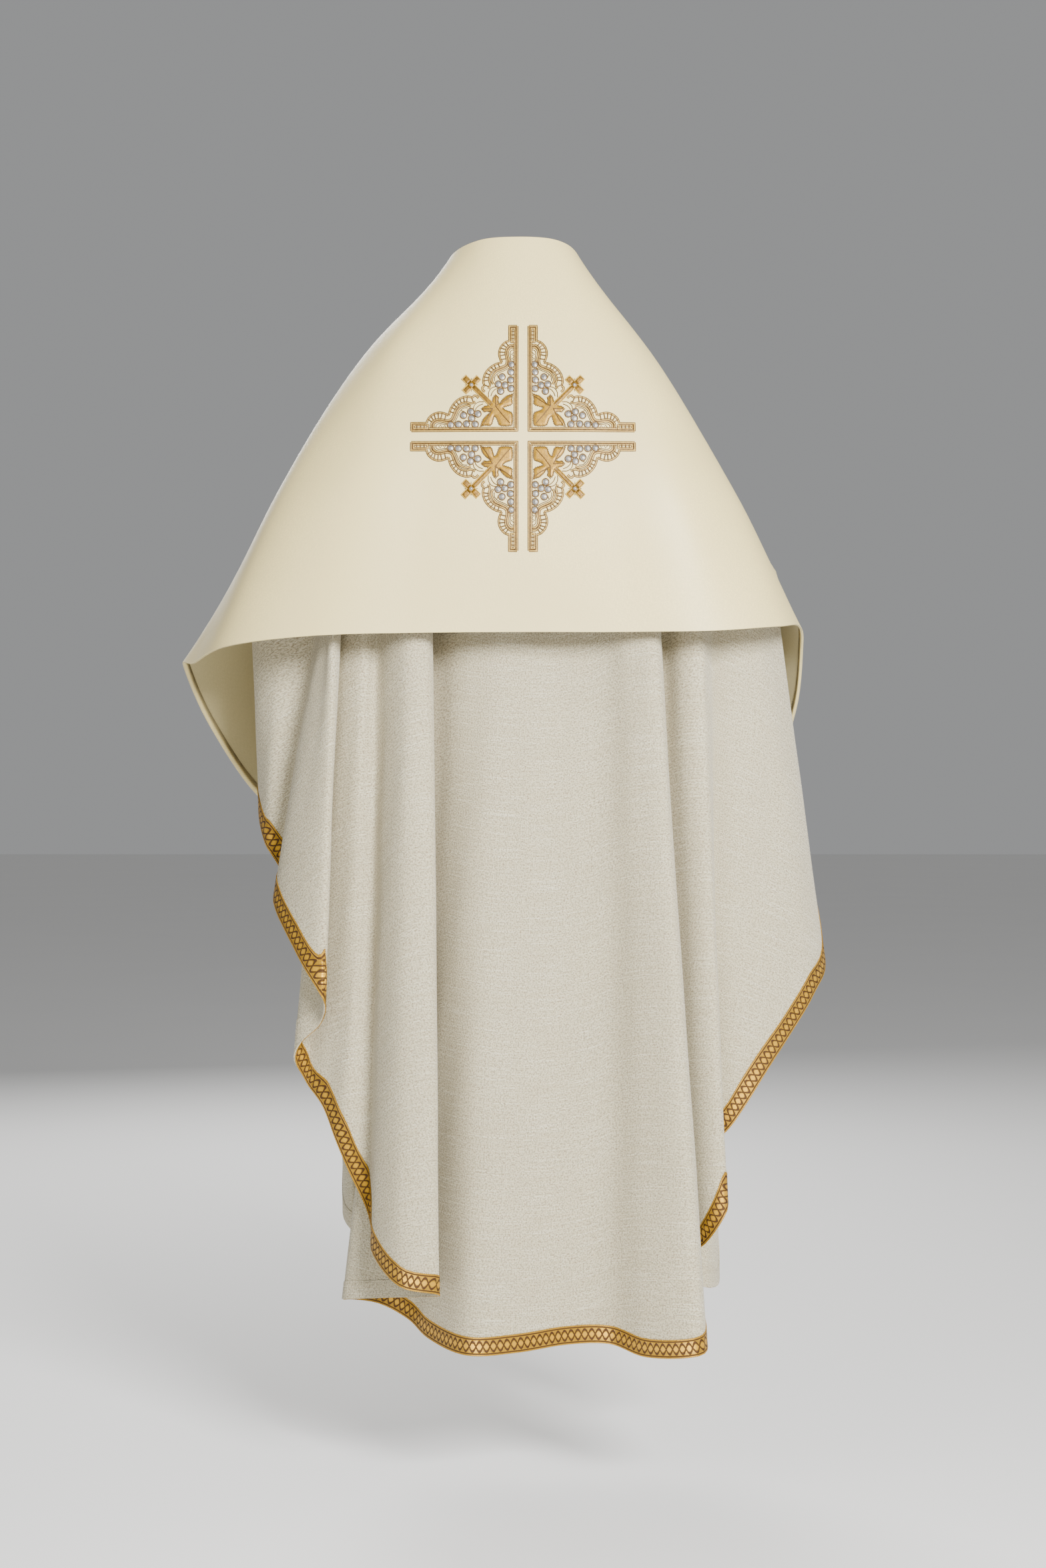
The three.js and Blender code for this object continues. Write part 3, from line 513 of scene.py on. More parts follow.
class Shader:
    """A material or shader group with short calls for the nodes that it needs."""

    def __init__(self, tree):
        self.tree = tree

    def node(self, kind, wires=None, **settings):
        made = self.tree.nodes.new(kind)
        for key, value in settings.items():
            setattr(made, key, value)
        for socket, value in (wires or {}).items():
            if isinstance(value, bpy.types.NodeSocket):
                self.tree.links.new(value, made.inputs[socket])
            else:
                made.inputs[socket].default_value = value
        return made

    def math(self, operation, *values):
        wires = dict(enumerate(values))
        return self.node("ShaderNodeMath", wires, operation=operation).outputs[0]

    def ramp(self, value, low, high):
        """0 below low, 1 above high, smooth between."""
        wires = {"Value": value, "From Min": low, "From Max": high}
        return self.node("ShaderNodeMapRange", wires, interpolation_type="SMOOTHSTEP").outputs[0]

    def mix(self, factor, first, second):
        wires = {0: factor, 6: first, 7: second}
        return self.node("ShaderNodeMix", wires, data_type="RGBA").outputs[2]

    def bump(self, height, strength, distance, normal=None):
        wires = {"Height": height, "Strength": strength, "Distance": distance}
        if normal is not None:
            wires["Normal"] = normal
        return self.node("ShaderNodeBump", wires).outputs[0]

    def noise(self, vector, scale, detail=3, roughness=0.5):
        wires = {"Vector": vector, "Scale": scale, "Detail": detail, "Roughness": roughness}
        return self.node("ShaderNodeTexNoise", wires).outputs["Fac"]

    def stretched(self, vector, scale):
        return self.node("ShaderNodeMapping", {"Vector": vector, "Scale": scale}).outputs[0]

    def parts(self, vector):
        made = self.node("ShaderNodeSeparateXYZ", {0: vector})
        return made.outputs[0], made.outputs[1]

    def group(self, tree, wires):
        return self.node("ShaderNodeGroup", wires, node_tree=tree).outputs


def rgba(colour):
    return (*colour[:3], 1)


def shade(colour, share):
    """A colour made lighter or darker."""
    return rgba([min(1, c * share) for c in colour])


def new_material(name, **shader):
    """A material, its helper and its Principled node with the plain values set."""
    material = bpy.data.materials.new(name)
    material.use_nodes = True
    material.node_tree.nodes.clear()
    helper = Shader(material.node_tree)
    principled = helper.node("ShaderNodeBsdfPrincipled", shader)
    helper.node("ShaderNodeOutputMaterial", {"Surface": principled.outputs[0]})
    return material, helper, principled


def finish(helper, principled, paint, bump=None, rough=None):
    """Links what a material works out to its surface."""
    for socket, value in (("Base Color", paint), ("Roughness", rough), ("Normal", bump)):
        if value is not None:
            helper.tree.links.new(value, principled.inputs[socket])


def cut_vector(helper):
    return helper.node("ShaderNodeUVMap", uv_map="cut").outputs[0]


def plain_weave_group():
    """Threads over and under each other, with slubs, warp ends and flecks as yarn noise."""
    tree, given, result = new_tree("plain_weave", "ShaderNodeTree", [
        ("Vector", "NodeSocketVector", None),
        ("Pitch", "NodeSocketFloat", 0.0009),
    ], [("Height", "NodeSocketFloat"), ("Slub", "NodeSocketFloat"), ("Fleck", "NodeSocketFloat")])
    helper = Shader(tree)
    across, up = helper.parts(given["Vector"])
    turns = helper.math("DIVIDE", math.pi, given["Pitch"])
    warp = helper.math("SINE", helper.math("MULTIPLY", across, turns))
    weft = helper.math("SINE", helper.math("MULTIPLY", up, turns))
    over = helper.math("ADD", helper.math("MULTIPLY", warp, weft), 1.0)
    slubs = helper.noise(helper.stretched(given["Vector"], (14, 640, 1)), 1, 2)
    ends = helper.noise(helper.stretched(given["Vector"], (760, 16, 1)), 1, 2)
    flecks = helper.noise(helper.stretched(given["Vector"], (380, 520, 1)), 1, 2)
    warps = helper.math("MULTIPLY", helper.ramp(ends, 0.48, 0.68), 0.5)
    slub = helper.math("MAXIMUM", helper.ramp(slubs, 0.46, 0.68), warps)
    height = helper.math("ADD", helper.math("MULTIPLY", over, 0.35), helper.math("MULTIPLY", slub, 0.5))
    link_chain(tree, (height, result["Height"]), (slub, result["Slub"]),
               (helper.ramp(flecks, 0.58, 0.68), result["Fleck"]))
    return tree


def thread_glint_group():
    """Painted glints along twisted metal thread: short bright and dark lengths, with a height for its bump.
    """
    tree, given, result = new_tree("thread_glint", "ShaderNodeTree", [
        ("Vector", "NodeSocketVector", None),
        ("Fineness", "NodeSocketFloat", 1500.0),
    ], [("Glint", "NodeSocketFloat"), ("Height", "NodeSocketFloat")])
    helper = Shader(tree)
    grains = helper.noise(given["Vector"], given["Fineness"], 2)
    lengths = helper.noise(given["Vector"], helper.math("MULTIPLY", given["Fineness"], 0.22), 2)
    both = helper.math("ADD", helper.math("MULTIPLY", grains, 0.6), helper.math("MULTIPLY", lengths, 0.4))
    # Glint is a mask for painted highlights and painted shade along the thread.
    link_chain(tree, (helper.ramp(both, 0.4, 0.62), result["Glint"]), (both, result["Height"]))
    return tree


# ---- settings --------------------------------------------------------------------------
def length(label, text, default):
    return FloatProperty(name=label, description=text, default=default, min=0, unit="LENGTH", precision=5)


def colour(label, text, default):
    return FloatVectorProperty(
        name=label, description=text, default=default, min=0, max=1, size=3, subtype="COLOR")


class ClothSettings(bpy.types.PropertyGroup):
    step: length("Column step", "Widest spacing of the cloth's columns of points", 0.009)
    rows: IntProperty(name="Rows", description="Rows of points down each sheet", default=56, min=8)
    wool_thickness: length("Wool thickness", "Thickness of the chasuble's cloth", 0.0011)
    satin_thickness: length("Satin thickness", "Thickness of the veil's outer layer", 0.0009)
    lining_thickness: length("Lining thickness", "Thickness of the veil's inner layer", 0.0007)
    wrinkle: length("Wrinkle depth", "How deep the soft wrinkles between the folds are", 0.004)
    weave_pitch: length("Weave pitch", "Distance between the wool cloth's threads", 0.0009)
    veil_room: length("Veil room", "Least height of the veil over the chasuble", 0.003)
    wool_colour: colour("Wool", "Ground colour of the wool cloth", (0.56, 0.492, 0.325))
    slub_colour: colour("Slub", "Thick pale yarns in the weft", (0.72, 0.67, 0.50))
    fleck_colour: colour("Fleck", "Dark yarn ends", (0.26, 0.19, 0.12))
    satin_colour: colour("Satin", "Veil's outer layer", (0.92, 0.755, 0.335))
    # The lining's colour is its own colour darkened with painted shade, for the inner side seen in shadow.
    lining_colour: colour("Lining", "Veil's inner layer", (0.52, 0.44, 0.22))


class TrimSettings(bpy.types.PropertyGroup):
    galloon_width: length("Galloon width", "Width of the woven edging", 0.023)
    galloon_thickness: length("Galloon thickness", "Thickness of the woven edging", 0.0008)
    galloon_repeat: length("Galloon repeat", "One crossing of the braid's figure to the next", 0.009)
    hem_width: length("Hem width", "Depth of the turned hem on the wrong side", 0.020)
    turning: length("Veil turning", "Width of satin turned over the lining's edge", 0.010)
    stitch_spacing: length("Stitch spacing", "From one hem stitch to the next", 0.0034)
    picot_spacing: length("Picot spacing", "From one loop of the braid's edge to the next", 0.0026)
    collar_height: length("Collar height", "Height of the binding round the neck", 0.016)
    gold: colour("Gold", "Braid's metal thread", (0.50, 0.265, 0.012))
    # The braid's brown is its own dark thread and also painted shadow between its gold strands.
    brown: colour("Brown", "Braid's dark figure", (0.075, 0.030, 0.006))


class CrossSettings(bpy.types.PropertyGroup):
    width: length("Cross width", "Tip to tip across", 0.287)
    height: length("Cross height", "Tip to tip up the back", 0.297)
    gap: length("Quarter gap", "Plain satin between the quarters", 0.014)
    drop: length("Cross drop", "Neck line down to the middle of the cross", 0.129)
    cord_radius: length("Cord radius", "Radius of the dark outline cords", 0.00058)
    band_width: length("Band width", "Light gold between two outline cords", 0.0021)
    grape_radius: length("Grape radius", "Radius of one embroidered grape", 0.0044)
    cord_colour: colour("Outline", "Dark gold outline cords", (0.115, 0.058, 0.010))
    band_colour: colour("Band", "Light gold filling", (0.64, 0.41, 0.085))
    leaf_colour: colour("Leaf", "Vine leaves", (0.43, 0.225, 0.006))
    stem_colour: colour("Stem", "Crosslets' dark filling", (0.20, 0.10, 0.006))
    silver_colour: colour("Silver", "Grapes", (0.30, 0.285, 0.255))


class StageSettings(bpy.types.PropertyGroup):
    distance: length("Camera distance", "Camera behind the neck line", 3.4)
    eye: FloatProperty(name="Camera height", description="Camera above the neck line", default=-0.574)
    lens: FloatProperty(name="Lens", description="Focal length in millimetres", default=87.7)
    floor: length("Floor below hem", "Hem down to the floor", 0.19)
    key: FloatProperty(name="Key light", description="Power of the main light in watts", default=375)
    fill: FloatProperty(name="Fill light", description="Power of the fill light in watts", default=32)
    front: FloatProperty(name="Front light", description="Power of the front's light in watts", default=150)
    sky: FloatProperty(name="Sky", description="Strength of the plain light from all round", default=0.36)
    paper: colour("Floor", "Pale floor", (0.88, 0.87, 0.85))


# ---- cloth materials ---------------------------------------------------------------------
def settings():
    scene = bpy.context.scene
    return scene.vestment_cloth, scene.vestment_trim, scene.vestment_cross, scene.vestment_stage


def wool_material():
    cloth = settings()[0]
    gloss = {"Sheen Weight": 0.2, "Sheen Roughness": 0.5, "Specular IOR Level": 0.25}
    material, helper, principled = new_material("slubbed_wool", Roughness=0.9, **gloss)
    cut = cut_vector(helper)
    weave = helper.group(plain_weave_group(), {"Vector": cut, "Pitch": cloth.weave_pitch})
    tone = helper.noise(cut, 7, 3)
    ground = helper.mix(helper.ramp(tone, 0.3, 0.7), shade(cloth.wool_colour, 0.95), rgba(cloth.wool_colour))
    slubbed = helper.mix(helper.math("MULTIPLY", weave["Slub"], 0.75), ground, rgba(cloth.slub_colour))
    deep = shade(cloth.wool_colour, 0.58)
    mottle = helper.math("MULTIPLY", helper.ramp(helper.noise(cut, 440, 2, 0.6), 0.45, 0.62), 0.85)
    mottled = helper.mix(mottle, slubbed, deep)
    fleck = helper.math("MULTIPLY", weave["Fleck"], 0.85)
    flecked = helper.mix(fleck, mottled, rgba(cloth.fleck_colour))
    nap = helper.noise(cut, 560, 2)
    bump = helper.bump(weave["Height"], 0.8, 0.0006, helper.bump(nap, 0.45, 0.0009))
    finish(helper, principled, flecked, bump)
    return material


def satin_material():
    cloth = settings()[0]
    material, helper, principled = new_material(
        "veil_satin", **{"Sheen Weight": 0.1, "Sheen Roughness": 0.4, "Specular IOR Level": 0.6}
    )
    cut = cut_vector(helper)
    floats = helper.noise(helper.stretched(cut, (2600, 110, 1)), 1, 3)
    # Painted sheen: broad soft patches of lighter and darker satin colour stand in for the satin's wide
    # highlights and dull patches.
    tone = helper.noise(cut, 5, 2)
    pale = rgba(cloth.satin_colour)
    deep = shade(cloth.satin_colour, 0.86)
    painted_sheen = helper.mix(helper.ramp(tone, 0.35, 0.65), deep, pale)
    floated = helper.mix(helper.ramp(floats, 0.35, 0.65), deep, painted_sheen)
    grain = helper.noise(cut, 420, 2)
    grained = helper.mix(helper.math("MULTIPLY", helper.ramp(grain, 0.42, 0.6), 0.8), floated, deep)
    gloss = helper.math("ADD", helper.math("MULTIPLY", floats, 0.15), 0.40)
    ease = helper.noise(cut, 16, 3)
    bump = helper.bump(floats, 0.3, 0.0004, helper.bump(grain, 0.12, 0.001, helper.bump(ease, 0.1, 0.006)))
    finish(helper, principled, grained, bump, gloss)
    return material


def lining_material():
    cloth = settings()[0]
    material, helper, principled = new_material("veil_lining", Roughness=0.6, **{"Sheen Weight": 0.2})
    cut = cut_vector(helper)
    ribs = helper.noise(helper.stretched(cut, (300, 1500, 1)), 1, 2)
    # lining_colour carries painted shade as well as the lining's own colour.
    deep = shade(cloth.lining_colour, 0.88)
    tone = helper.mix(helper.ramp(ribs, 0.35, 0.65), deep, rgba(cloth.lining_colour))
    finish(helper, principled, tone, helper.bump(ribs, 0.2, 0.0003))
    return material


def thread_material(name, colour, dark_share, light_share, metallic=0.55, fineness=1500.0):
    """Twisted thread with painted glints: its colour runs between a darker and a lighter share of itself, as
    painted shade and painted highlight.
    """
    dark, light = shade(colour, dark_share), shade(colour, light_share)
    material, helper, principled = new_material(name, Metallic=metallic, Roughness=0.42)
    vector = helper.node("ShaderNodeTexCoord").outputs["Object"]
    glint = helper.group(glints(), {"Vector": vector, "Fineness": fineness})
    # Painted glints: the colour goes from the darker share to the lighter one along the glint mask.
    tone = helper.mix(glint["Glint"], dark, light)
    finish(helper, principled, tone, helper.bump(glint["Height"], 0.5, 0.0005))
    return material


def galloon_material():
    """Two dark cords that cross each other down the middle of a gold braid: brown thread and painted shadow
    between the gold strands; the eyes between them get a painted highlight and the gold painted glints.
    """
    trim = settings()[1]
    material, helper, principled = new_material("gold_galloon", Metallic=0.5)
    cut = cut_vector(helper)
    along, up = helper.parts(cut)
    turns = helper.math("DIVIDE", math.pi, trim.galloon_repeat)
    swing = helper.math("SINE", helper.math("MULTIPLY", along, turns))
    swell = trim.galloon_width * 0.27
    reach = helper.math("MULTIPLY", swing, swell)
    off = helper.math("SUBTRACT", up, trim.galloon_width / 2)
    lines = []
    for side in (1, -1):
        gap = helper.math("ABSOLUTE", helper.math("ADD", off, helper.math("MULTIPLY", reach, side)))
        lines.append(helper.ramp(gap, 0.0023, 0.0011))
    half_swing = helper.math("MULTIPLY", helper.math("ABSOLUTE", swing), swell)
    eye = helper.ramp(helper.math("SUBTRACT", half_swing, helper.math("ABSOLUTE", off)), 0.0022, 0.0040)
    rail_place = trim.galloon_width * 0.40
    rail = helper.math("ABSOLUTE", helper.math("SUBTRACT", helper.math("ABSOLUTE", off), rail_place))
    rails = helper.ramp(rail, 0.0011, 0.0004)
    figure = helper.math("MAXIMUM", helper.math("MAXIMUM", lines[0], lines[1]), rails)
    vector = helper.node("ShaderNodeTexCoord").outputs["Object"]
    # Painted glints: the gold runs from a darker share up to its own colour.
    glint = helper.group(glints(), {"Vector": vector, "Fineness": 1300.0})
    gold = helper.mix(glint["Glint"], shade(trim.gold, 0.72), rgba(trim.gold))
    # Painted highlight: a lighter copy of the gold on each eye's raised middle.
    bright = helper.mix(eye, gold, shade(trim.gold, 1.3))
    # The dark figure is brown thread and painted shadow between the gold strands.
    paint = helper.mix(figure, bright, rgba(trim.brown))
    ribs = helper.math("SINE", helper.math("MULTIPLY", helper.math("ADD", along, up), math.tau / 0.0011))
    lift = helper.math("ADD", helper.math("MULTIPLY", figure, 0.9), helper.math("MULTIPLY", ribs, 0.12))
    bump = helper.bump(lift, 0.8, 0.0009, helper.bump(glint["Height"], 0.35, 0.0005))
    rough = helper.math("ADD", helper.math("MULTIPLY", figure, 0.2), 0.36)
    finish(helper, principled, paint, bump, rough)
    return material


# ---- what the operators share --------------------------------------------------------------
made = {}


def shared(name, build):
    """Builds a tree, a material or a surface once, and hands it out again after that."""
    if name not in made:
        made[name] = build()
    return made[name]


def glints():
    return shared("glint", thread_glint_group)


def wool():
    return shared("wool", wool_material)


def satin():
    return shared("satin", satin_material)


def galloon():
    return shared("galloon", galloon_material)


# The thread materials below all carry painted glints, between the darker and lighter shares given to
# thread_material.
def dark_thread():
    cross = settings()[2]
    return shared("dark_thread", lambda: thread_material("outline_cord", cross.cord_colour, 0.6, 1.7, 0.25))


def gold_thread():
    trim = settings()[1]
    return shared("gold_thread", lambda: thread_material("picot_thread", trim.gold, 0.6, 1))


def sewing_thread():
    cloth = settings()[0]
    return shared("sewing_thread", lambda: thread_material("sewing_thread", cloth.wool_colour, 0.6, 0.9, 0.0))


def stitches():
    return shared("stitches", stitch_tree)


def cords():
    return shared("cords", cord_tree)


# ---- the chasuble ----------------------------------------------------------------------------
def edge_widths():
    trim = settings()[1]
    return (trim.galloon_width, trim.hem_width, trim.galloon_width / 2, 0)


def panel(folds, neck, drop, swell, seed):
    """A panel's grid of points, with its last rows at the widths of the edge's trims."""
    cloth = settings()[0]
    lines = [fold_line(fold, neck, drop, swell) for fold in folds]
    columns, cuts = loft(lines, cloth.step)
    places = [folds[i][0] + (folds[i + 1][0] - folds[i][0]) * s for i, s in cuts]
    grid = []
    for i, line in enumerate(columns):
        line[0] = bearing(places[i], neck)
        along = (columns[min(i + 1, len(columns) - 1)][5] - columns[max(i - 1, 0)][5]).normalized()
        rise = line[4] - line[5]
        up = rise.normalized()
        square = max((up - along * up.dot(along)).length, 0.35)
        ends = [1 - 0.25 * min(width / square / rise.length, 0.9) for width in edge_widths()]
        steps = [ends[0] * k / cloth.rows for k in range(cloth.rows)] + ends
        grid.append([through(line, LINE_KNOTS, v) for v in steps])
    along = arc_lengths([column[-1] for column in grid])
    normals = grid_normals(grid)
    for i, column in enumerate(grid):
        down = arc_lengths(column)
        for j, (p, n) in enumerate(zip(column, normals[i])):
            ease = min(1, down[j] / 0.25)
            long_folds = noise.noise((along[i] * 8, down[j] * 1.6, seed))
            creases = noise.noise((along[i] * 17 + down[j] * 5, down[j] * 4 - along[i] * 3, seed + 9))
            column[j] = p + n * (cloth.wrinkle * ease * (long_folds + 0.45 * creases))
    return grid


def panels():
    def build():
        return {
            "back": panel(BACK_FOLDS, NECK_BACK, BACK_LENGTH, -BLADE, 3),
            "front": panel(FRONT_FOLDS, NECK_FRONT, FRONT_LENGTH, CHEST, 21)[::-1],
        }
    return shared("panels", build)


class OBJECT_OT_vestment_chasuble(bpy.types.Operator):
    """Drapes the chasuble's two panels and its collar"""
    bl_idname = "object.vestment_chasuble"
    bl_label = "Chasuble"

    def execute(self, context):
        cloth, trim = settings()[:2]
        high = LAYER_GAP + cloth.wool_thickness
        for side, grid in panels().items():
            piece = shell(
                f"chasuble_{side}", grid, grid_normals(grid), LAYER_GAP, high, wool(), flat_cut(grid))
            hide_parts(f"{side}_panel")
            dress("chasuble", wool_cloth=(piece,))
            made[f"chasuble_{side}"] = piece
        self.welt()
        self.collar(trim.collar_height, trim.galloon_width)
        return {"FINISHED"}

    def welt(self):
        """The piped seam along each shoulder and sleeve."""
        runs = []
        for side in (-1, 1):
            runs.append([bearing(side * (1 + 5 * k / 120), NECK_BACK) for k in range(121)])
        piece = follow("shoulder_piping", runs, cords(), {
            "Radius": PIPING_RADIUS, "Sides": 8, "Thread": sewing_thread()})
        dress("chasuble", wool_cloth=(piece,))

    def collar(self, height, braid_width):
        """A rounded band just inside the neck's edge."""
        shares = [2 * k / COLLAR_CORNERS for k in range(COLLAR_CORNERS)]
        stops = [bearing(-1 + share, NECK_BACK) for share in shares]
        stops += [bearing(1 - share, NECK_FRONT) for share in shares]
        middle = sum(stops, Vector()) / len(stops)
        profile = [(-0.5, 0), (-0.42, 1), (0, 1.25), (0.42, 1), (0.5, 0), (0.42, -0.1), (-0.42, -0.1)]
        points, uvs, faces = [], [], []
        along = arc_lengths(stops)
        for k, p in enumerate(stops):
            inward = middle - p
            inward.z = 0
            inward.normalize()
            for up, across in profile:
                out = inward * (COLLAR_STAND + across * COLLAR_THICK)
                points.append(p + out + Vector((0, 0, up * height)))
                uvs.append((along[k], braid_width * (0.5 + up)))
        sides, count = len(profile), len(stops)
        for k in range(count):
            for m in range(sides):
                a, b = k * sides, (k + 1) % count * sides
                faces.append((a + m, b + m, b + (m + 1) % sides, a + (m + 1) % sides))
        piece = mesh_object("neck_band", points, faces, galloon(), uvs)
        face_out(piece)
        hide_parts("neck_binding")
        dress("chasuble", gold_galloon=(piece,))


def dress(body, **pieces_by_slot):
    """Gives pieces the body they ride on."""
    for slot, pieces in pieces_by_slot.items():
        for piece in pieces:
            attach(piece, body)


def face_out(piece):
    mesh = bmesh.new()
    mesh.from_mesh(piece.data)
    bmesh.ops.recalc_face_normals(mesh, faces=mesh.faces)
    mesh.to_mesh(piece.data)
    mesh.free()


class OBJECT_OT_vestment_trims(bpy.types.Operator):
    """Turns the hems, sews them and lays the galloon"""
    bl_idname = "object.vestment_trims"
    bl_label = "Hems and galloon"

    def execute(self, context):
        cloth, trim = settings()[:2]
        for side, grid in panels().items():
            normals = grid_normals(grid)
            edge = [column[-4:] for column in grid]
            edge_normals = [column[-4:] for column in normals]
            cut = strip_cut(edge, edge_widths())
            hem = shell(f"{side}_turned_hem", edge, edge_normals, *TURNED_HEM, wool(), cut)
            braid_low = LAYER_GAP + cloth.wool_thickness + BRAID_GAP
            braid_high = braid_low + trim.galloon_thickness
            braid = shell(f"{side}_braid", edge, edge_normals, braid_low, braid_high, galloon(), cut)
            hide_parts(f"{side}_galloon")
            sewn = [c[1] + n[1] * HEM_SEAM_DEPTH for c, n in zip(edge, edge_normals)]
            seam = follow(f"{side}_hem_stitches", [sewn], stitches(), {
                "Spacing": trim.stitch_spacing, "Thread": sewing_thread(), **HEM_STITCH})
            rise = braid_low + PICOT_HEIGHT
            loops = [[c[row] + n[row] * rise for c, n in zip(edge, edge_normals)] for row in (0, 3)]
            picots = follow(f"{side}_picots", loops, stitches(), {
                "Spacing": trim.picot_spacing, "Thread": gold_thread(), **PICOT_LOOP})
            dress("chasuble", wool_cloth=(hem, seam), gold_galloon=(braid, picots))
            size, area = {"back": BACK_FLAT, "front": FRONT_FLAT}[side]
        return {"FINISHED"}


# ---- the shoulder veil ---------------------------------------------------------------------------
def spread(lift, i, j):
    """The lift at one point, raised towards its four neighbours'."""
    around = (
        lift[max(i - 1, 0)][j] + lift[min(i + 1, len(lift) - 1)][j]
        + lift[i][max(j - 1, 0)] + lift[i][min(j + 1, len(lift[i]) - 1)]
    )
    return max(lift[i][j], 0.5 * lift[i][j] + 0.125 * around)


def settle_over(grid, room):
    """Lifts the veil off the chasuble wherever it would touch or cut it."""
    points, faces = [], []
    for under in panels().values():
        base = len(points)
        skin = offset(under, grid_normals(under), 0.0014)
        down = len(skin[0])
        points += [p for column in skin for p in column]
        for i in range(len(skin) - 1):
            for j in range(down - 1):
                a, b = base + i * down + j, base + (i + 1) * down + j
                faces.append((a, a + 1, b + 1, b))
    tree = BVHTree.FromPolygons(points, faces)
    reach, most = 0.03, 0.012
    across, down = len(grid), len(grid[0])
    for _ in range(4):
        normals = grid_normals(grid)
        lift = [[0.0] * down for _ in range(across)]
        for i in range(across):
            for j in range(down):
                spot, facing, _, gap = tree.find_nearest(grid[i][j], reach)
                if spot is not None:
                    height = (grid[i][j] - spot).dot(facing)
                    if facing.dot(normals[i][j]) > 0.2 and height < room:
                        lift[i][j] = min(room - height, most)
        for _ in range(3):
            lift = [[spread(lift, i, j) for j in range(down)] for i in range(across)]
        for i in range(across):
            for j in range(down):
                grid[i][j] = grid[i][j] + normals[i][j] * lift[i][j]
    return grid


def veil_grid():
    def build():
        cloth, trim = settings()[:2]
        lines = [[metres(p) for p in line] for line in VEIL_LINES]
        columns, _ = loft(lines, cloth.step * 1.15)
        end = trim.turning
        first, last = columns[0], columns[-1]
        near = [a + (b - a).normalized() * end for a, b in zip(columns[0], columns[2])]
        far = [a + (b - a).normalized() * end for a, b in zip(columns[-1], columns[-3])]
        columns = [first, near] + columns[3:-3] + [far, last]
        grid = []
        for line in columns:
            steps = [k / cloth.rows for k in range(cloth.rows + 1)]
            column = [through(line, VEIL_KNOTS, v) for v in steps]
            total = arc_lengths(column)[-1]
            share = end / total
            steps = [0] + [share + (1 - 2 * share) * k / cloth.rows for k in range(cloth.rows + 1)] + [1]
            grid.append([through(line, VEIL_KNOTS, v) for v in steps])
        top = max(p.z for column in grid for p in column)
        shift = Vector((0, 0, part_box("veil_satin")[1].z - 0.002 - top))
        grid = [[p + shift for p in column] for column in grid]
        along = arc_lengths([column[-1] for column in grid])
        normals = grid_normals(grid)
        for i, column in enumerate(grid):
            down = arc_lengths(column)
            for j, n in enumerate(normals[i]):
                soft = noise.noise((along[i] * 3.2 - down[j] * 1.2, down[j] * 2.4, 5))
                fine = noise.noise((along[i] * 9 + down[j] * 4, down[j] * 7, 11))
                ease = min(1, down[j] / 0.1)
                column[j] = column[j] + n * (cloth.wrinkle * ease * (0.7 * soft + 0.22 * fine))
        return settle_over(grid, cloth.veil_room)
    return shared("veil_grid", build)


def square_cut(grid):
    middle = len(grid) // 2
    along = arc_lengths([column[len(column) // 2] for column in grid])
    return [[(along[i] - along[middle], -d) for d in arc_lengths(column)] for i, column in enumerate(grid)]


class OBJECT_OT_vestment_veil(bpy.types.Operator):
    """Drapes the shoulder veil, its lining and its turned edge"""
    bl_idname = "object.vestment_veil"
    bl_label = "Shoulder veil"

    def execute(self, context):
        cloth, trim = settings()[:2]
        grid = veil_grid()
        normals = grid_normals(grid)
        cut = square_cut(grid)
        low = cloth.lining_thickness + LAYER_GAP
        outer = shell("veil_outer", grid, normals, low, low + cloth.satin_thickness, satin(), cut)
        lining = shared("lining", lining_material)
        inner = shell("veil_inner", grid, normals, 0.0, cloth.lining_thickness, lining, cut)
        turned = self.turned_edge(grid, normals, cut)
        under = offset(grid, normals, VEIL_SEAM_DEPTH)
        rows = [[column[row] for column in under[1:-1]] for row in (1, -2)]
        ends = [under[at][1:-1] for at in (1, -2)]
        seam = follow("veil_edge_stitches", rows + ends, stitches(), {
            "Spacing": trim.stitch_spacing * 1.3, "Thread": sewing_thread(), **VEIL_STITCH})
        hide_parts("veil_satin")
        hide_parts("veil_lining")
        dress("veil", cream_satin=(outer, turned), veil_lining=(inner, seam))
        made["veil_outer"] = outer
        return {"FINISHED"}

    def turned_edge(self, grid, normals, cut):
        """The satin folded over the lining all the way round, as one flat ring."""
        across, down = len(grid), len(grid[0])
        points, uvs, faces = [], [], []
        for height in TURNED_SATIN:
            points += [p for column in offset(grid, normals, height) for p in column]
            uvs += [uv for column in cut for uv in column]
        base = across * down
        for i in range(across - 1):
            for j in range(down - 1):
                if 0 < i < across - 2 and 0 < j < down - 2:
                    continue
                a, b = i * down + j, (i + 1) * down + j
                faces.append((a, b, b + 1, a + 1))
                faces.append((base + a, base + a + 1, base + b + 1, base + b))
        piece = mesh_object("veil_turning", points, faces, satin(), uvs)
        mesh = bmesh.new()
        mesh.from_mesh(piece.data)
        rims = [edge for edge in mesh.edges if edge.is_boundary]
        bmesh.ops.bridge_loops(mesh, edges=rims)
        loose = [v for v in mesh.verts if not v.link_faces]
        bmesh.ops.delete(mesh, geom=loose, context="VERTS")
        bmesh.ops.recalc_face_normals(mesh, faces=mesh.faces)
        mesh.to_mesh(piece.data)
        mesh.free()
        return piece


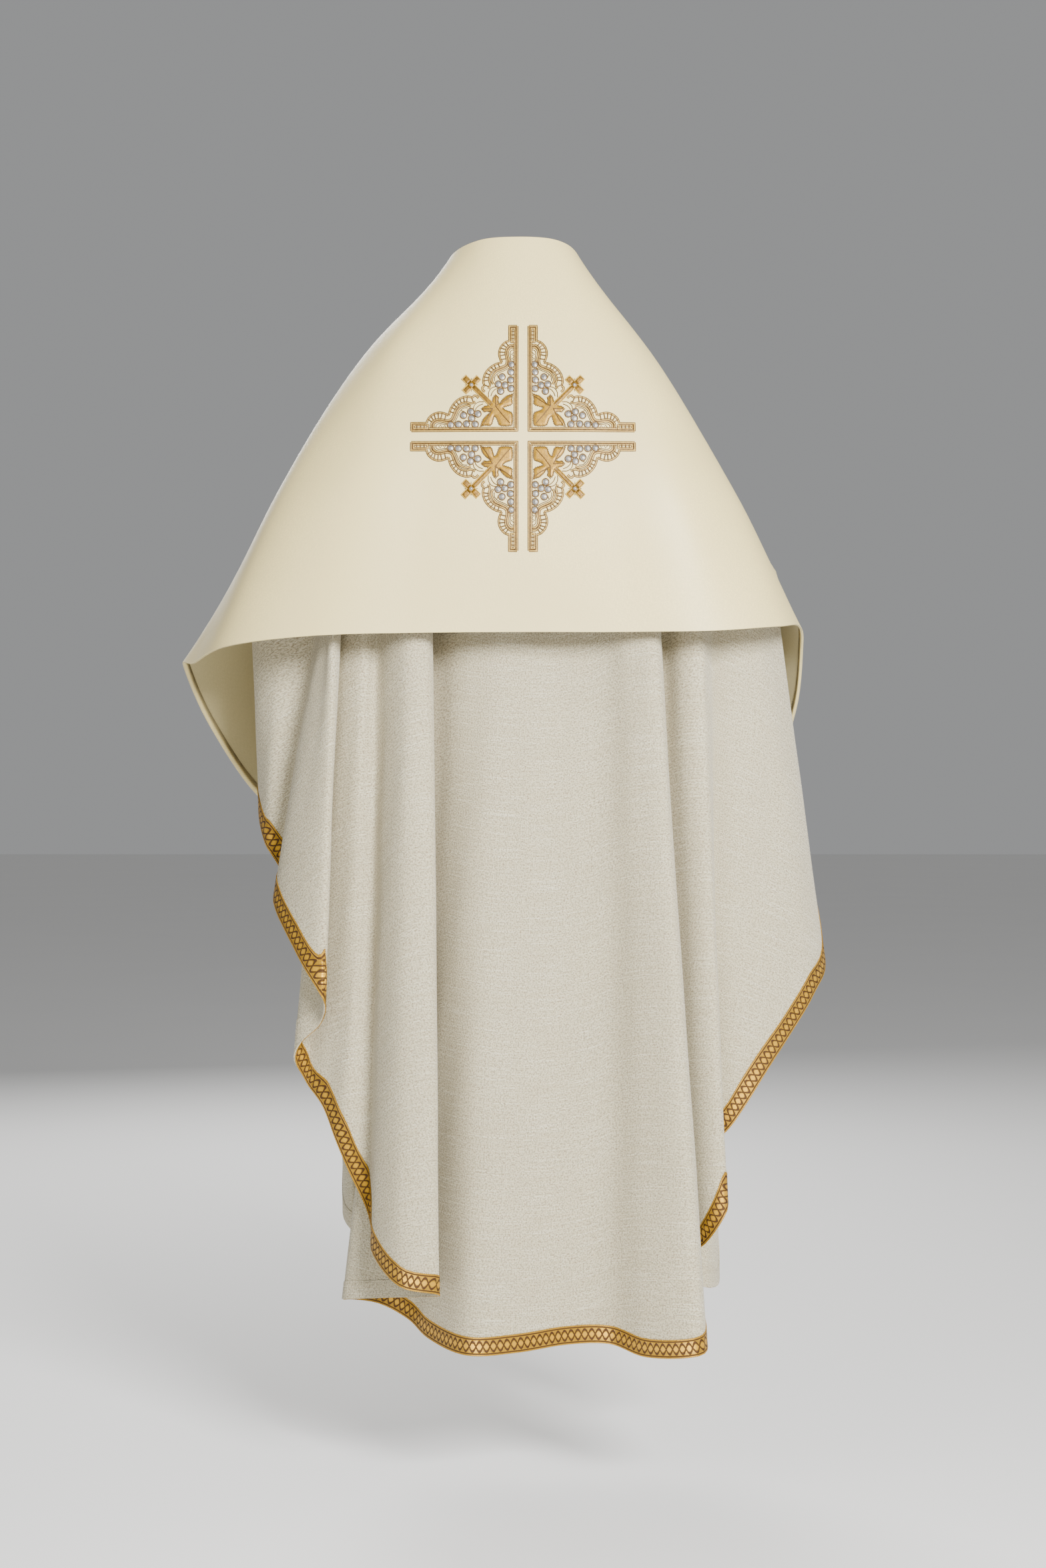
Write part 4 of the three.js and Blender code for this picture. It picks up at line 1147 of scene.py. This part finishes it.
# ---- the embroidered cross --------------------------------------------------------------------
# One quarter, in millimetres from its inner corner: across first, up second. Each line is
# the half on one side of the quarter's diagonal, and is worked again mirrored.
QUARTER = 141.7
TIP = [(3.6, 138), (8.2, 138), (8.2, 119.5), (3.6, 119.5)]
BORDER = [(10.9, 121), (10.9, 141.2), (0.5, 141.2), (0.5, 0.5)]
INNER_BAR = [(3.6, 118), (3.6, 3.6)]
SCALLOPS = [
    [(10.9, 121), (16.8, 118.6), (22, 113), (24.4, 106.5), (24.2, 100), (22.6, 95), (20.7, 91.5)],
    [(20.7, 91.5), (29, 89.2), (36.5, 84.6), (42, 78.5), (45, 71.5), (45.6, 65), (44.2, 60)],
    [(44.2, 60), (47, 57.6), (46.4, 54.6), (43.4, 52)],
]
WAVES = [
    [(4.2, 114.8), (9.3, 115.1), (13.8, 111.5), (15.9, 105.5), (15.2, 99.3), (14.2, 94), (16, 88),
     (23.8, 84.4), (31, 81), (36, 75.5), (37.9, 68.6), (36.6, 61.6), (38.6, 56)],
    [(4.2, 111.6), (8.8, 111.7), (12, 108.6), (13.2, 103.4), (12, 97.2), (11.2, 92.4), (13.4, 86.4),
     (20.7, 82.4), (28.6, 78.8), (32.8, 73.2), (34.2, 67.2), (32.4, 62)],
    [(4.6, 108.4), (8, 108), (10, 104.4), (9.3, 99.3), (8.8, 94.4)],
    [(10.2, 84.4), (18.2, 80.2), (25.6, 77), (30.2, 72.2), (30.8, 66.4)],
]
LATTICE = [
    [(4, 106), (8.2, 102.4), (4, 99.8), (7.6, 96.6), (4, 94.6)],
    [(27, 74.8), (25.4, 70.4)],
]
TENDRIL = [
    (38.6, 44.6), (38.4, 51.4), (34.6, 57), (28.6, 58.8), (25.6, 57.2), (30.4, 54.8), (34, 50.4), (35.6, 46),
]
GRAPES = [
    (8.3, 89), (8.8, 78.6), (20.7, 71.9), (9.3, 68), (25.7, 62.3), (16.9, 61), (8.8, 56.4), (22.6, 52.8),
]
LEAF = [
    (7, 7), (6, 14), (6.2, 21), (8, 25), (13, 26.6), (17.4, 28.4), (19.4, 31), (15, 32), (9.6, 33.6),
    (6.4, 36.4), (7.2, 42.6), (5.6, 49.6), (10.4, 48.2), (15, 46.6), (20, 42.4), (24.6, 36.4), (25.8, 40.6),
    (24.6, 44.4), (29.4, 48.8), (33, 44.2), (33.6, 40), (35.4, 37.4),
]
LEAF_HEART = (29.5, 33.1)
VEINS = [
    [LEAF_HEART, (20, 21), (10, 10)],
    [LEAF_HEART, (18, 39), (8, 46)],
    [LEAF_HEART, (29, 40), (29.2, 46)],
]
CROSSLET_ARMS = [((83.2, 90.8), (3.8, 13.5)), ((91.5, 101.5), (-3.8, 3.8)), ((83.2, 90.8), (-13.5, -3.8))]
STEM = (44, 83.2, 2.9)
TEETH = 2.0
LAY_STEP = 2.2


def mirrored(points):
    return [(up, across) for across, up in points]


def both(points):
    return [points, mirrored(points)]


def turned(points):
    """From along the diagonal and beside it to across and up."""
    half = math.sqrt(0.5)
    return [((p - q) * half, (p + q) * half) for p, q in points]


def circle(across, up, radius, corners):
    turns = [k * math.tau / corners for k in range(corners)]
    return [(across + radius * math.cos(t), up + radius * math.sin(t)) for t in turns]


def smooth_line(points):
    """Rounds a drawn line and spaces its points evenly enough to bend with the satin."""
    flat = [Vector((*p, 0)) for p in points]
    knots = arc_lengths(flat)
    count = max(2, math.ceil(knots[-1] / LAY_STEP * 1.6))
    return [through(flat, knots, knots[-1] * k / count).to_2d().to_tuple() for k in range(count + 1)]


def straight_line(points):
    result = [points[0]]
    for (a, b), (c, d) in zip(points, points[1:]):
        steps = max(1, math.ceil(math.hypot(c - a, d - b) / LAY_STEP))
        result += [(a + (c - a) * k / steps, b + (d - b) * k / steps) for k in range(1, steps + 1)]
    return result


def beside(line, distance):
    """A line's neighbour, distance to its left, mitred at corners."""
    closed = line[0] == line[-1]
    result = []
    for k, point in enumerate(line):
        before = line[k - 1] if k else line[-2] if closed else None
        after = line[k + 1] if k < len(line) - 1 else line[1] if closed else None
        here = Vector(point)
        ways = [way.normalized() for way in (
            here - Vector(before) if before else None, Vector(after) - here if after else None) if way]
        mean = (ways[0] + ways[-1]).normalized()
        reach = distance / max(mean.dot(ways[0]), 0.5)
        result.append((here.x - mean.y * reach, here.y + mean.x * reach))
    return result


class Quarter:
    """Lays a quarter's drawing on the veil."""

    def __init__(self, name, side_x, side_z, tree):
        cross = settings()[2]
        self.name = name
        self.tree = tree
        self.x = (side_x, cross.gap / 2, (cross.width - cross.gap) / 2 / QUARTER)
        self.z = (side_z, cross.gap / 2, (cross.height - cross.gap) / 2 / QUARTER)
        self.drop = cross.drop
        self.flip = side_x * side_z > 0

    def lay(self, point, height=0.0):
        x = self.x[0] * (self.x[1] + point[0] * self.x[2])
        z = self.z[0] * (self.z[1] + point[1] * self.z[2]) - self.drop
        spot, facing, _, _ = self.tree.ray_cast(Vector((x, -1, z)), Vector((0, 1, 0)))
        if spot is None:
            raise RuntimeError(f"{self.name}: nothing under {point}")
        if facing.y > 0:
            facing = -facing
        return spot + facing * height

    def cord(self, lines, height):
        return [[self.lay(p, height) for p in line] for line in lines]

    def solid_from(self, name, faces_of, material):
        points, faces = faces_of
        piece = mesh_object(name, points, faces, material)
        face_out(piece)
        return piece

    def bands(self, lines, width, height):
        """Low rounded strips of laid thread, one for each line."""
        points, faces = [], []
        rails = ((-0.5, -0.0002), (-0.42, height * 0.7), (0, height), (0.42, height * 0.7), (0.5, -0.0002))
        for line in lines:
            base = len(points)
            for share, rise in rails:
                points += [self.lay(p, rise) for p in beside(line, share * width)]
            count = len(line)
            for m in range(len(rails)):
                a, b = base + m * count, base + (m + 1) % len(rails) * count
                faces += [(a + k, a + k + 1, b + k + 1, b + k) for k in range(count - 1)]
            for k in (0, count - 1):
                faces.append(tuple(base + m * count + k for m in range(len(rails))))
        return points, faces

    def fill(self, outline, height, ramp, step=1.6):
        """A padded patch inside an outline, domed over a width of ramp from its edge."""
        edge = [Vector(p) for p in outline]
        count = len(edge)
        low = [min(p[k] for p in edge) for k in (0, 1)]
        high = [max(p[k] for p in edge) for k in (0, 1)]
        inside = []
        for m in range(int((high[0] - low[0]) / step) + 1):
            for n in range(int((high[1] - low[1]) / step) + 1):
                p = Vector((low[0] + (m + 0.5 * (n % 2)) * step, low[1] + n * step))
                if edge_distance(p, edge) > step * 0.45 and encloses(edge, p):
                    inside.append(p)
        ring = [(k, (k + 1) % count) for k in range(count)]
        flat, _, faces, *_ = geometry.delaunay_2d_cdt(edge + inside, ring, [list(range(count))], 1, 1e-5)
        rises = [height * (1 - (1 - min(edge_distance(p, edge) / ramp, 1)) ** 2) for p in flat]
        top = [self.lay(p, rise) for p, rise in zip(flat, rises)]
        under = [self.lay(p, -0.0003) for p in flat]
        base = len(flat)
        sides = {}
        for face in faces:
            for a, b in zip(face, face[1:] + face[:1]):
                sides[(a, b)] = sides.get((a, b), 0) + 1
        walls = [(b, a, base + a, base + b) for a, b in sides if (b, a) not in sides]
        backs = [tuple(base + k for k in reversed(face)) for face in faces]
        return top + under, [tuple(face) for face in faces] + backs + walls


def edge_distance(p, edge):
    best = math.inf
    for a, b in zip(edge, edge[1:] + edge[:1]):
        near, share = geometry.intersect_point_line(p, a, b)
        share = min(max(share, 0), 1)
        best = min(best, (p - a.lerp(b, share)).length)
    return best


def encloses(edge, p):
    inside = False
    for a, b in zip(edge, edge[1:] + edge[:1]):
        if (a.y > p.y) != (b.y > p.y) and p.x < (b.x - a.x) * (p.y - a.y) / (b.y - a.y) + a.x:
            inside = not inside
    return inside


def rungs(outer, inner, spacing):
    """Short bars across the strip between two lines, spacing apart along the outer one."""
    result = []
    run = 0.0
    for a, b in zip(outer, outer[1:]):
        run += math.dist(a, b)
        if run < spacing:
            continue
        run = 0.0
        c = min(inner, key=lambda p: math.dist(p, b))
        if math.dist(b, c) < 9:
            result.append([b, ((b[0] + c[0]) / 2, (b[1] + c[1]) / 2), c])
    return result


def toothed(outline):
    """A leaf's edge, with small saw teeth."""
    result = []
    for (a, b), (c, d) in zip(outline, outline[1:] + outline[:1]):
        span = math.hypot(c - a, d - b)
        count = max(1, round(span / 2.6))
        for k in range(count):
            s = k / count
            result.append((a + (c - a) * s, b + (d - b) * s))
            t = (k + 0.72) / count
            out = TEETH * 0.5 * min(1, span / 6)
            result.append((a + (c - a) * t + (d - b) / span * out, b + (d - b) * t - (c - a) / span * out))
    return result


class OBJECT_OT_vestment_cross(bpy.types.Operator):
    """Embroiders the four quarters of the cross on the veil"""
    bl_idname = "object.vestment_cross"
    bl_label = "Embroidered cross"

    def execute(self, context):
        cross = settings()[2]
        # Each thread's two shares set how dark and how light its painted glints are.
        self.light = thread_material("band_thread", cross.band_colour, 0.75, 1, 0.2)
        self.leaf = thread_material("leaf_thread", cross.leaf_colour, 0.6, 1, 0.25, 900.0)
        self.stem = thread_material("stem_thread", cross.stem_colour, 0.55, 1.5, 0.4, 1000.0)
        self.silver = thread_material("silver_thread", cross.silver_colour, 0.5, 1.5, 0.5, 1100.0)
        skin = made["veil_outer"].data
        tree = BVHTree.FromPolygons([v.co for v in skin.vertices], [tuple(p.vertices) for p in skin.polygons])
        for level, side_z in (("upper", 1), ("lower", -1)):
            for hand, side_x in (("left", -1), ("right", 1)):
                self.work(Quarter(f"{level}_{hand}", side_x, side_z, tree))
        return {"FINISHED"}

    def work(self, quarter):
        cross = settings()[2]
        name = quarter.name
        half = cross.band_width / MM / 2
        paths = []
        for line in (BORDER[:3], INNER_BAR, TIP + TIP[:1]):
            paths += [straight_line(p) for p in both(line)]
        paths.append(straight_line([(0.5, 141.2), (0.5, 0.5), (141.2, 0.5)]))
        scallops = [smooth_line(line) for line in SCALLOPS]
        waves = [smooth_line(line) for line in WAVES]
        for line in scallops + waves[:2]:
            paths += both(line)
        thin = [p for line in waves[2:] + [smooth_line(TENDRIL)] + LATTICE for p in both(line)]
        bars = rungs(scallops[0], waves[0], 5.2) + rungs(scallops[1], waves[0], 5.2)
        bars += [[(3.6, b), (5.9, b), (8.2, b)] for b in range(124, 138, 5)]
        band = quarter.solid_from(f"border_band_{name}", quarter.bands(paths, half * 2, 0.0004), self.light)
        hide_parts(f"cross_border_{name}")
        edges = [beside(path, side * half) for path in paths for side in (-1, 1)]
        dress("veil", gold_thread=(band,))
        self.cords(f"border_cord_{name}", quarter.cord(edges + thin, 0.0003), cross.cord_radius)
        steps = [p for bar in bars for p in both(bar)]
        self.cords(f"border_rungs_{name}", quarter.cord(steps, 0.0003), cross.cord_radius * 1.5)
        self.leaf_and_crosslet(quarter)
        self.grapes(quarter)

    def cords(self, name, runs, radius, closed=False):
        piece = follow(name, runs, cords(), {"Radius": radius, "Sides": 6, "Thread": dark_thread()}, closed)
        dress("veil", gold_thread=(piece,))

    def leaf_and_crosslet(self, quarter):
        cross = settings()[2]
        name = quarter.name
        outline = toothed(LEAF + mirrored(LEAF[1:])[::-1])
        leaf = quarter.solid_from(f"leaf_{name}", quarter.fill(outline, 0.0011, 3.2), self.leaf)
        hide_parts(f"vine_leaf_{name}")
        dress("veil", leaf_thread=(leaf,))
        veins = [smooth_line(line) for line in VEINS]
        veins += [mirrored(line) for line in veins[1:]]
        self.cords(f"leaf_veins_{name}", quarter.cord(veins, 0.0012), cross.cord_radius * 1.2)
        self.cords(f"leaf_edge_{name}", quarter.cord([outline], 0.0003), cross.cord_radius * 1.3, True)
        start, end, side = STEM
        shapes = [[(start, -side), (end, -side), (end, side), (start, side)]]
        for (p, q), (r, s) in CROSSLET_ARMS:
            shapes.append([(p, r), (q, r), (q, s), (p, s)])
        shapes.append([(83.2, -3.8), (91.5, -3.8), (91.5, 3.8), (83.2, 3.8)])
        points, faces = [], []
        for shape in shapes:
            more, sides = quarter.fill(straight_line(turned(shape + shape[:1]))[:-1], 0.0009, 1.6, 1.2)
            faces += [tuple(len(points) + k for k in face) for face in sides]
            points += more
        crosslet = quarter.solid_from(f"crosslet_{name}_filling", (points, faces), self.stem)
        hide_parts(f"crosslet_{name}")
        dress("veil", gold_thread=(crosslet,))
        rim = [
            (end, -side), (end, -13.5), (90.8, -13.5), (90.8, -3.8), (101.5, -3.8), (101.5, 3.8), (90.8, 3.8),
            (90.8, 13.5), (83.2, 13.5), (83.2, side),
        ]
        outline = straight_line(turned([(start, -side)] + rim + [(start, side)]))
        band = quarter.solid_from(f"crosslet_{name}_band", quarter.bands([outline], 1.5, 0.0013), self.light)
        dress("veil", gold_thread=(band,))
        rays = []
        for p_way in (-1, 1):
            for q_way in (-1, 1):
                for turn in (0.25, 0.5, 0.75):
                    p, q = p_way * math.cos(turn * math.pi / 2), q_way * math.sin(turn * math.pi / 2)
                    rays.append(turned([(87 + p * r, q * r) for r in (5.8, 7.4, 9)]))
        self.cords(f"crosslet_{name}_rays", quarter.cord(rays, 0.0002), cross.cord_radius * 0.7)
        ring = turned(circle(87, 0, 3, 20))
        boss = quarter.solid_from(f"crosslet_{name}_boss", quarter.fill(ring, 0.0019, 2.4, 1), self.silver)
        dress("veil", silver_thread=(boss,))

    def grapes(self, quarter):
        cross = settings()[2]
        name = quarter.name
        radius = cross.grape_radius / MM
        rings, points, faces = [], [], []
        for spot in GRAPES + mirrored(GRAPES):
            ring = circle(*spot, radius, 18)
            more, sides = quarter.fill(ring, 0.0014, radius, 1.5)
            faces += [tuple(len(points) + k for k in face) for face in sides]
            points += more
            rings.append(ring)
        berries = quarter.solid_from(f"grapes_{name}", (points, faces), self.silver)
        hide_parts(f"grapes_tall_{name}", f"grapes_wide_{name}")
        dress("veil", silver_thread=(berries,))
        self.cords(f"grape_rings_{name}", quarter.cord(rings, 0.0003), cross.cord_radius * 1.35, True)


# ---- the clasp ----------------------------------------------------------------------------------
class OBJECT_OT_vestment_clasp(bpy.types.Operator):
    """Gilds the veil's clasp"""
    bl_idname = "object.vestment_clasp"
    bl_label = "Clasp"

    def execute(self, context):
        material, helper, principled = new_material("gilt_metal", Metallic=1.0)
        vector = helper.node("ShaderNodeTexCoord").outputs["Object"]
        wear = helper.noise(vector, 260, 4)
        brushed = helper.noise(helper.stretched(vector, (300, 300, 2600)), 1, 2)
        tone = helper.mix(helper.ramp(wear, 0.35, 0.7), (0.52, 0.33, 0.10, 1), (0.83, 0.60, 0.24, 1))
        rough = helper.math("ADD", helper.math("MULTIPLY", wear, 0.25), 0.12)
        finish(helper, principled, tone, helper.bump(brushed, 0.1, 0.0003), rough)
        for name in ("clasp_plate_left", "clasp_pin", "clasp_bar", "clasp_plate_right"):
            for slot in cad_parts[name].material_slots:
                slot.material = material
        return {"FINISHED"}


# ---- the stage -------------------------------------------------------------------------------------
class OBJECT_OT_vestment_stage(bpy.types.Operator):
    """Sets the floor, the lights and the camera"""
    bl_idname = "object.vestment_stage"
    bl_label = "Stage"

    def execute(self, context):
        stage = settings()[3]
        scene = context.scene
        low = cad_box[0][2] - stage.floor
        far = 30
        corners = [(-far, -far, low), (far, -far, low), (far, far, low), (-far, far, low)]
        material, helper, principled = new_material("pale_floor", Roughness=0.7)
        vector = helper.node("ShaderNodeTexCoord").outputs["Object"]
        tone = helper.mix(helper.noise(vector, 1.5, 2), shade(stage.paper, 0.97), rgba(stage.paper))
        finish(helper, principled, tone)
        floor = mesh_object("floor", corners, [(0, 1, 2, 3)], material)
        world = bpy.data.worlds.new("studio")
        world.use_nodes = True
        background = world.node_tree.nodes["Background"]
        background.inputs["Color"].default_value = (0.86, 0.87, 0.88, 1)
        background.inputs["Strength"].default_value = stage.sky
        scene.world = world
        self.light("key", stage.key, 1.2, (1.4, -3.3, 0.9), (0, 0, -0.4))
        self.light("fill", stage.fill, 1.8, (-2.6, -2.6, 1.2), (0, 0, -0.6))
        self.light("back", stage.front, 2.0, (-0.9, 3.4, 1.3), (0, 0, -0.6))
        data = bpy.data.cameras.new("camera")
        data.lens = stage.lens
        data.sensor_width = 36
        data.sensor_fit = "HORIZONTAL"
        camera = bpy.data.objects.new("camera", data)
        camera.location = (0, -stage.distance, stage.eye)
        camera.rotation_euler = (math.pi / 2, 0, 0)
        scene.collection.objects.link(camera)
        scene.camera = camera
        return {"FINISHED"}

    def light(self, name, power, size, place, target):
        data = bpy.data.lights.new(name, "AREA")
        data.energy = power
        data.size = size
        lamp = bpy.data.objects.new(name, data)
        lamp.location = place
        lamp.rotation_euler = (Vector(target) - Vector(place)).to_track_quat("-Z", "Y").to_euler()
        bpy.context.scene.collection.objects.link(lamp)


class VIEW3D_PT_vestment(bpy.types.Panel):
    """The vestment's pieces and their sizes"""
    bl_label = "Vestment"
    bl_space_type = "VIEW_3D"
    bl_region_type = "UI"
    bl_category = "Vestment"

    def draw(self, context):
        for name, group, operators in SECTIONS:
            box = self.layout.box()
            box.label(text=name)
            for prop in group.__annotations__:
                box.prop(getattr(context.scene, f"vestment_{name.lower()}"), prop)
            for operator in operators:
                box.operator(operator.bl_idname)


SECTIONS = [
    ("Stage", StageSettings, [OBJECT_OT_vestment_stage]),
    ("Cloth", ClothSettings, [OBJECT_OT_vestment_chasuble]),
    ("Trim", TrimSettings, [OBJECT_OT_vestment_trims, OBJECT_OT_vestment_veil]),
    ("Cross", CrossSettings, [OBJECT_OT_vestment_cross, OBJECT_OT_vestment_clasp]),
]


def register():
    for name, group, operators in SECTIONS:
        bpy.utils.register_class(group)
        setattr(bpy.types.Scene, f"vestment_{name.lower()}", PointerProperty(type=group))
        for operator in operators:
            bpy.utils.register_class(operator)
    bpy.utils.register_class(VIEW3D_PT_vestment)


def unregister():
    bpy.utils.unregister_class(VIEW3D_PT_vestment)
    for name, group, operators in reversed(SECTIONS):
        for operator in operators:
            bpy.utils.unregister_class(operator)
        delattr(bpy.types.Scene, f"vestment_{name.lower()}")
        bpy.utils.unregister_class(group)


def main():
    register()
    bpy.ops.object.vestment_stage()
    bpy.ops.object.vestment_chasuble()
    bpy.ops.object.vestment_trims()
    bpy.ops.object.vestment_veil()
    bpy.ops.object.vestment_cross()
    bpy.ops.object.vestment_clasp()


if __name__ == "__main__":
    main()
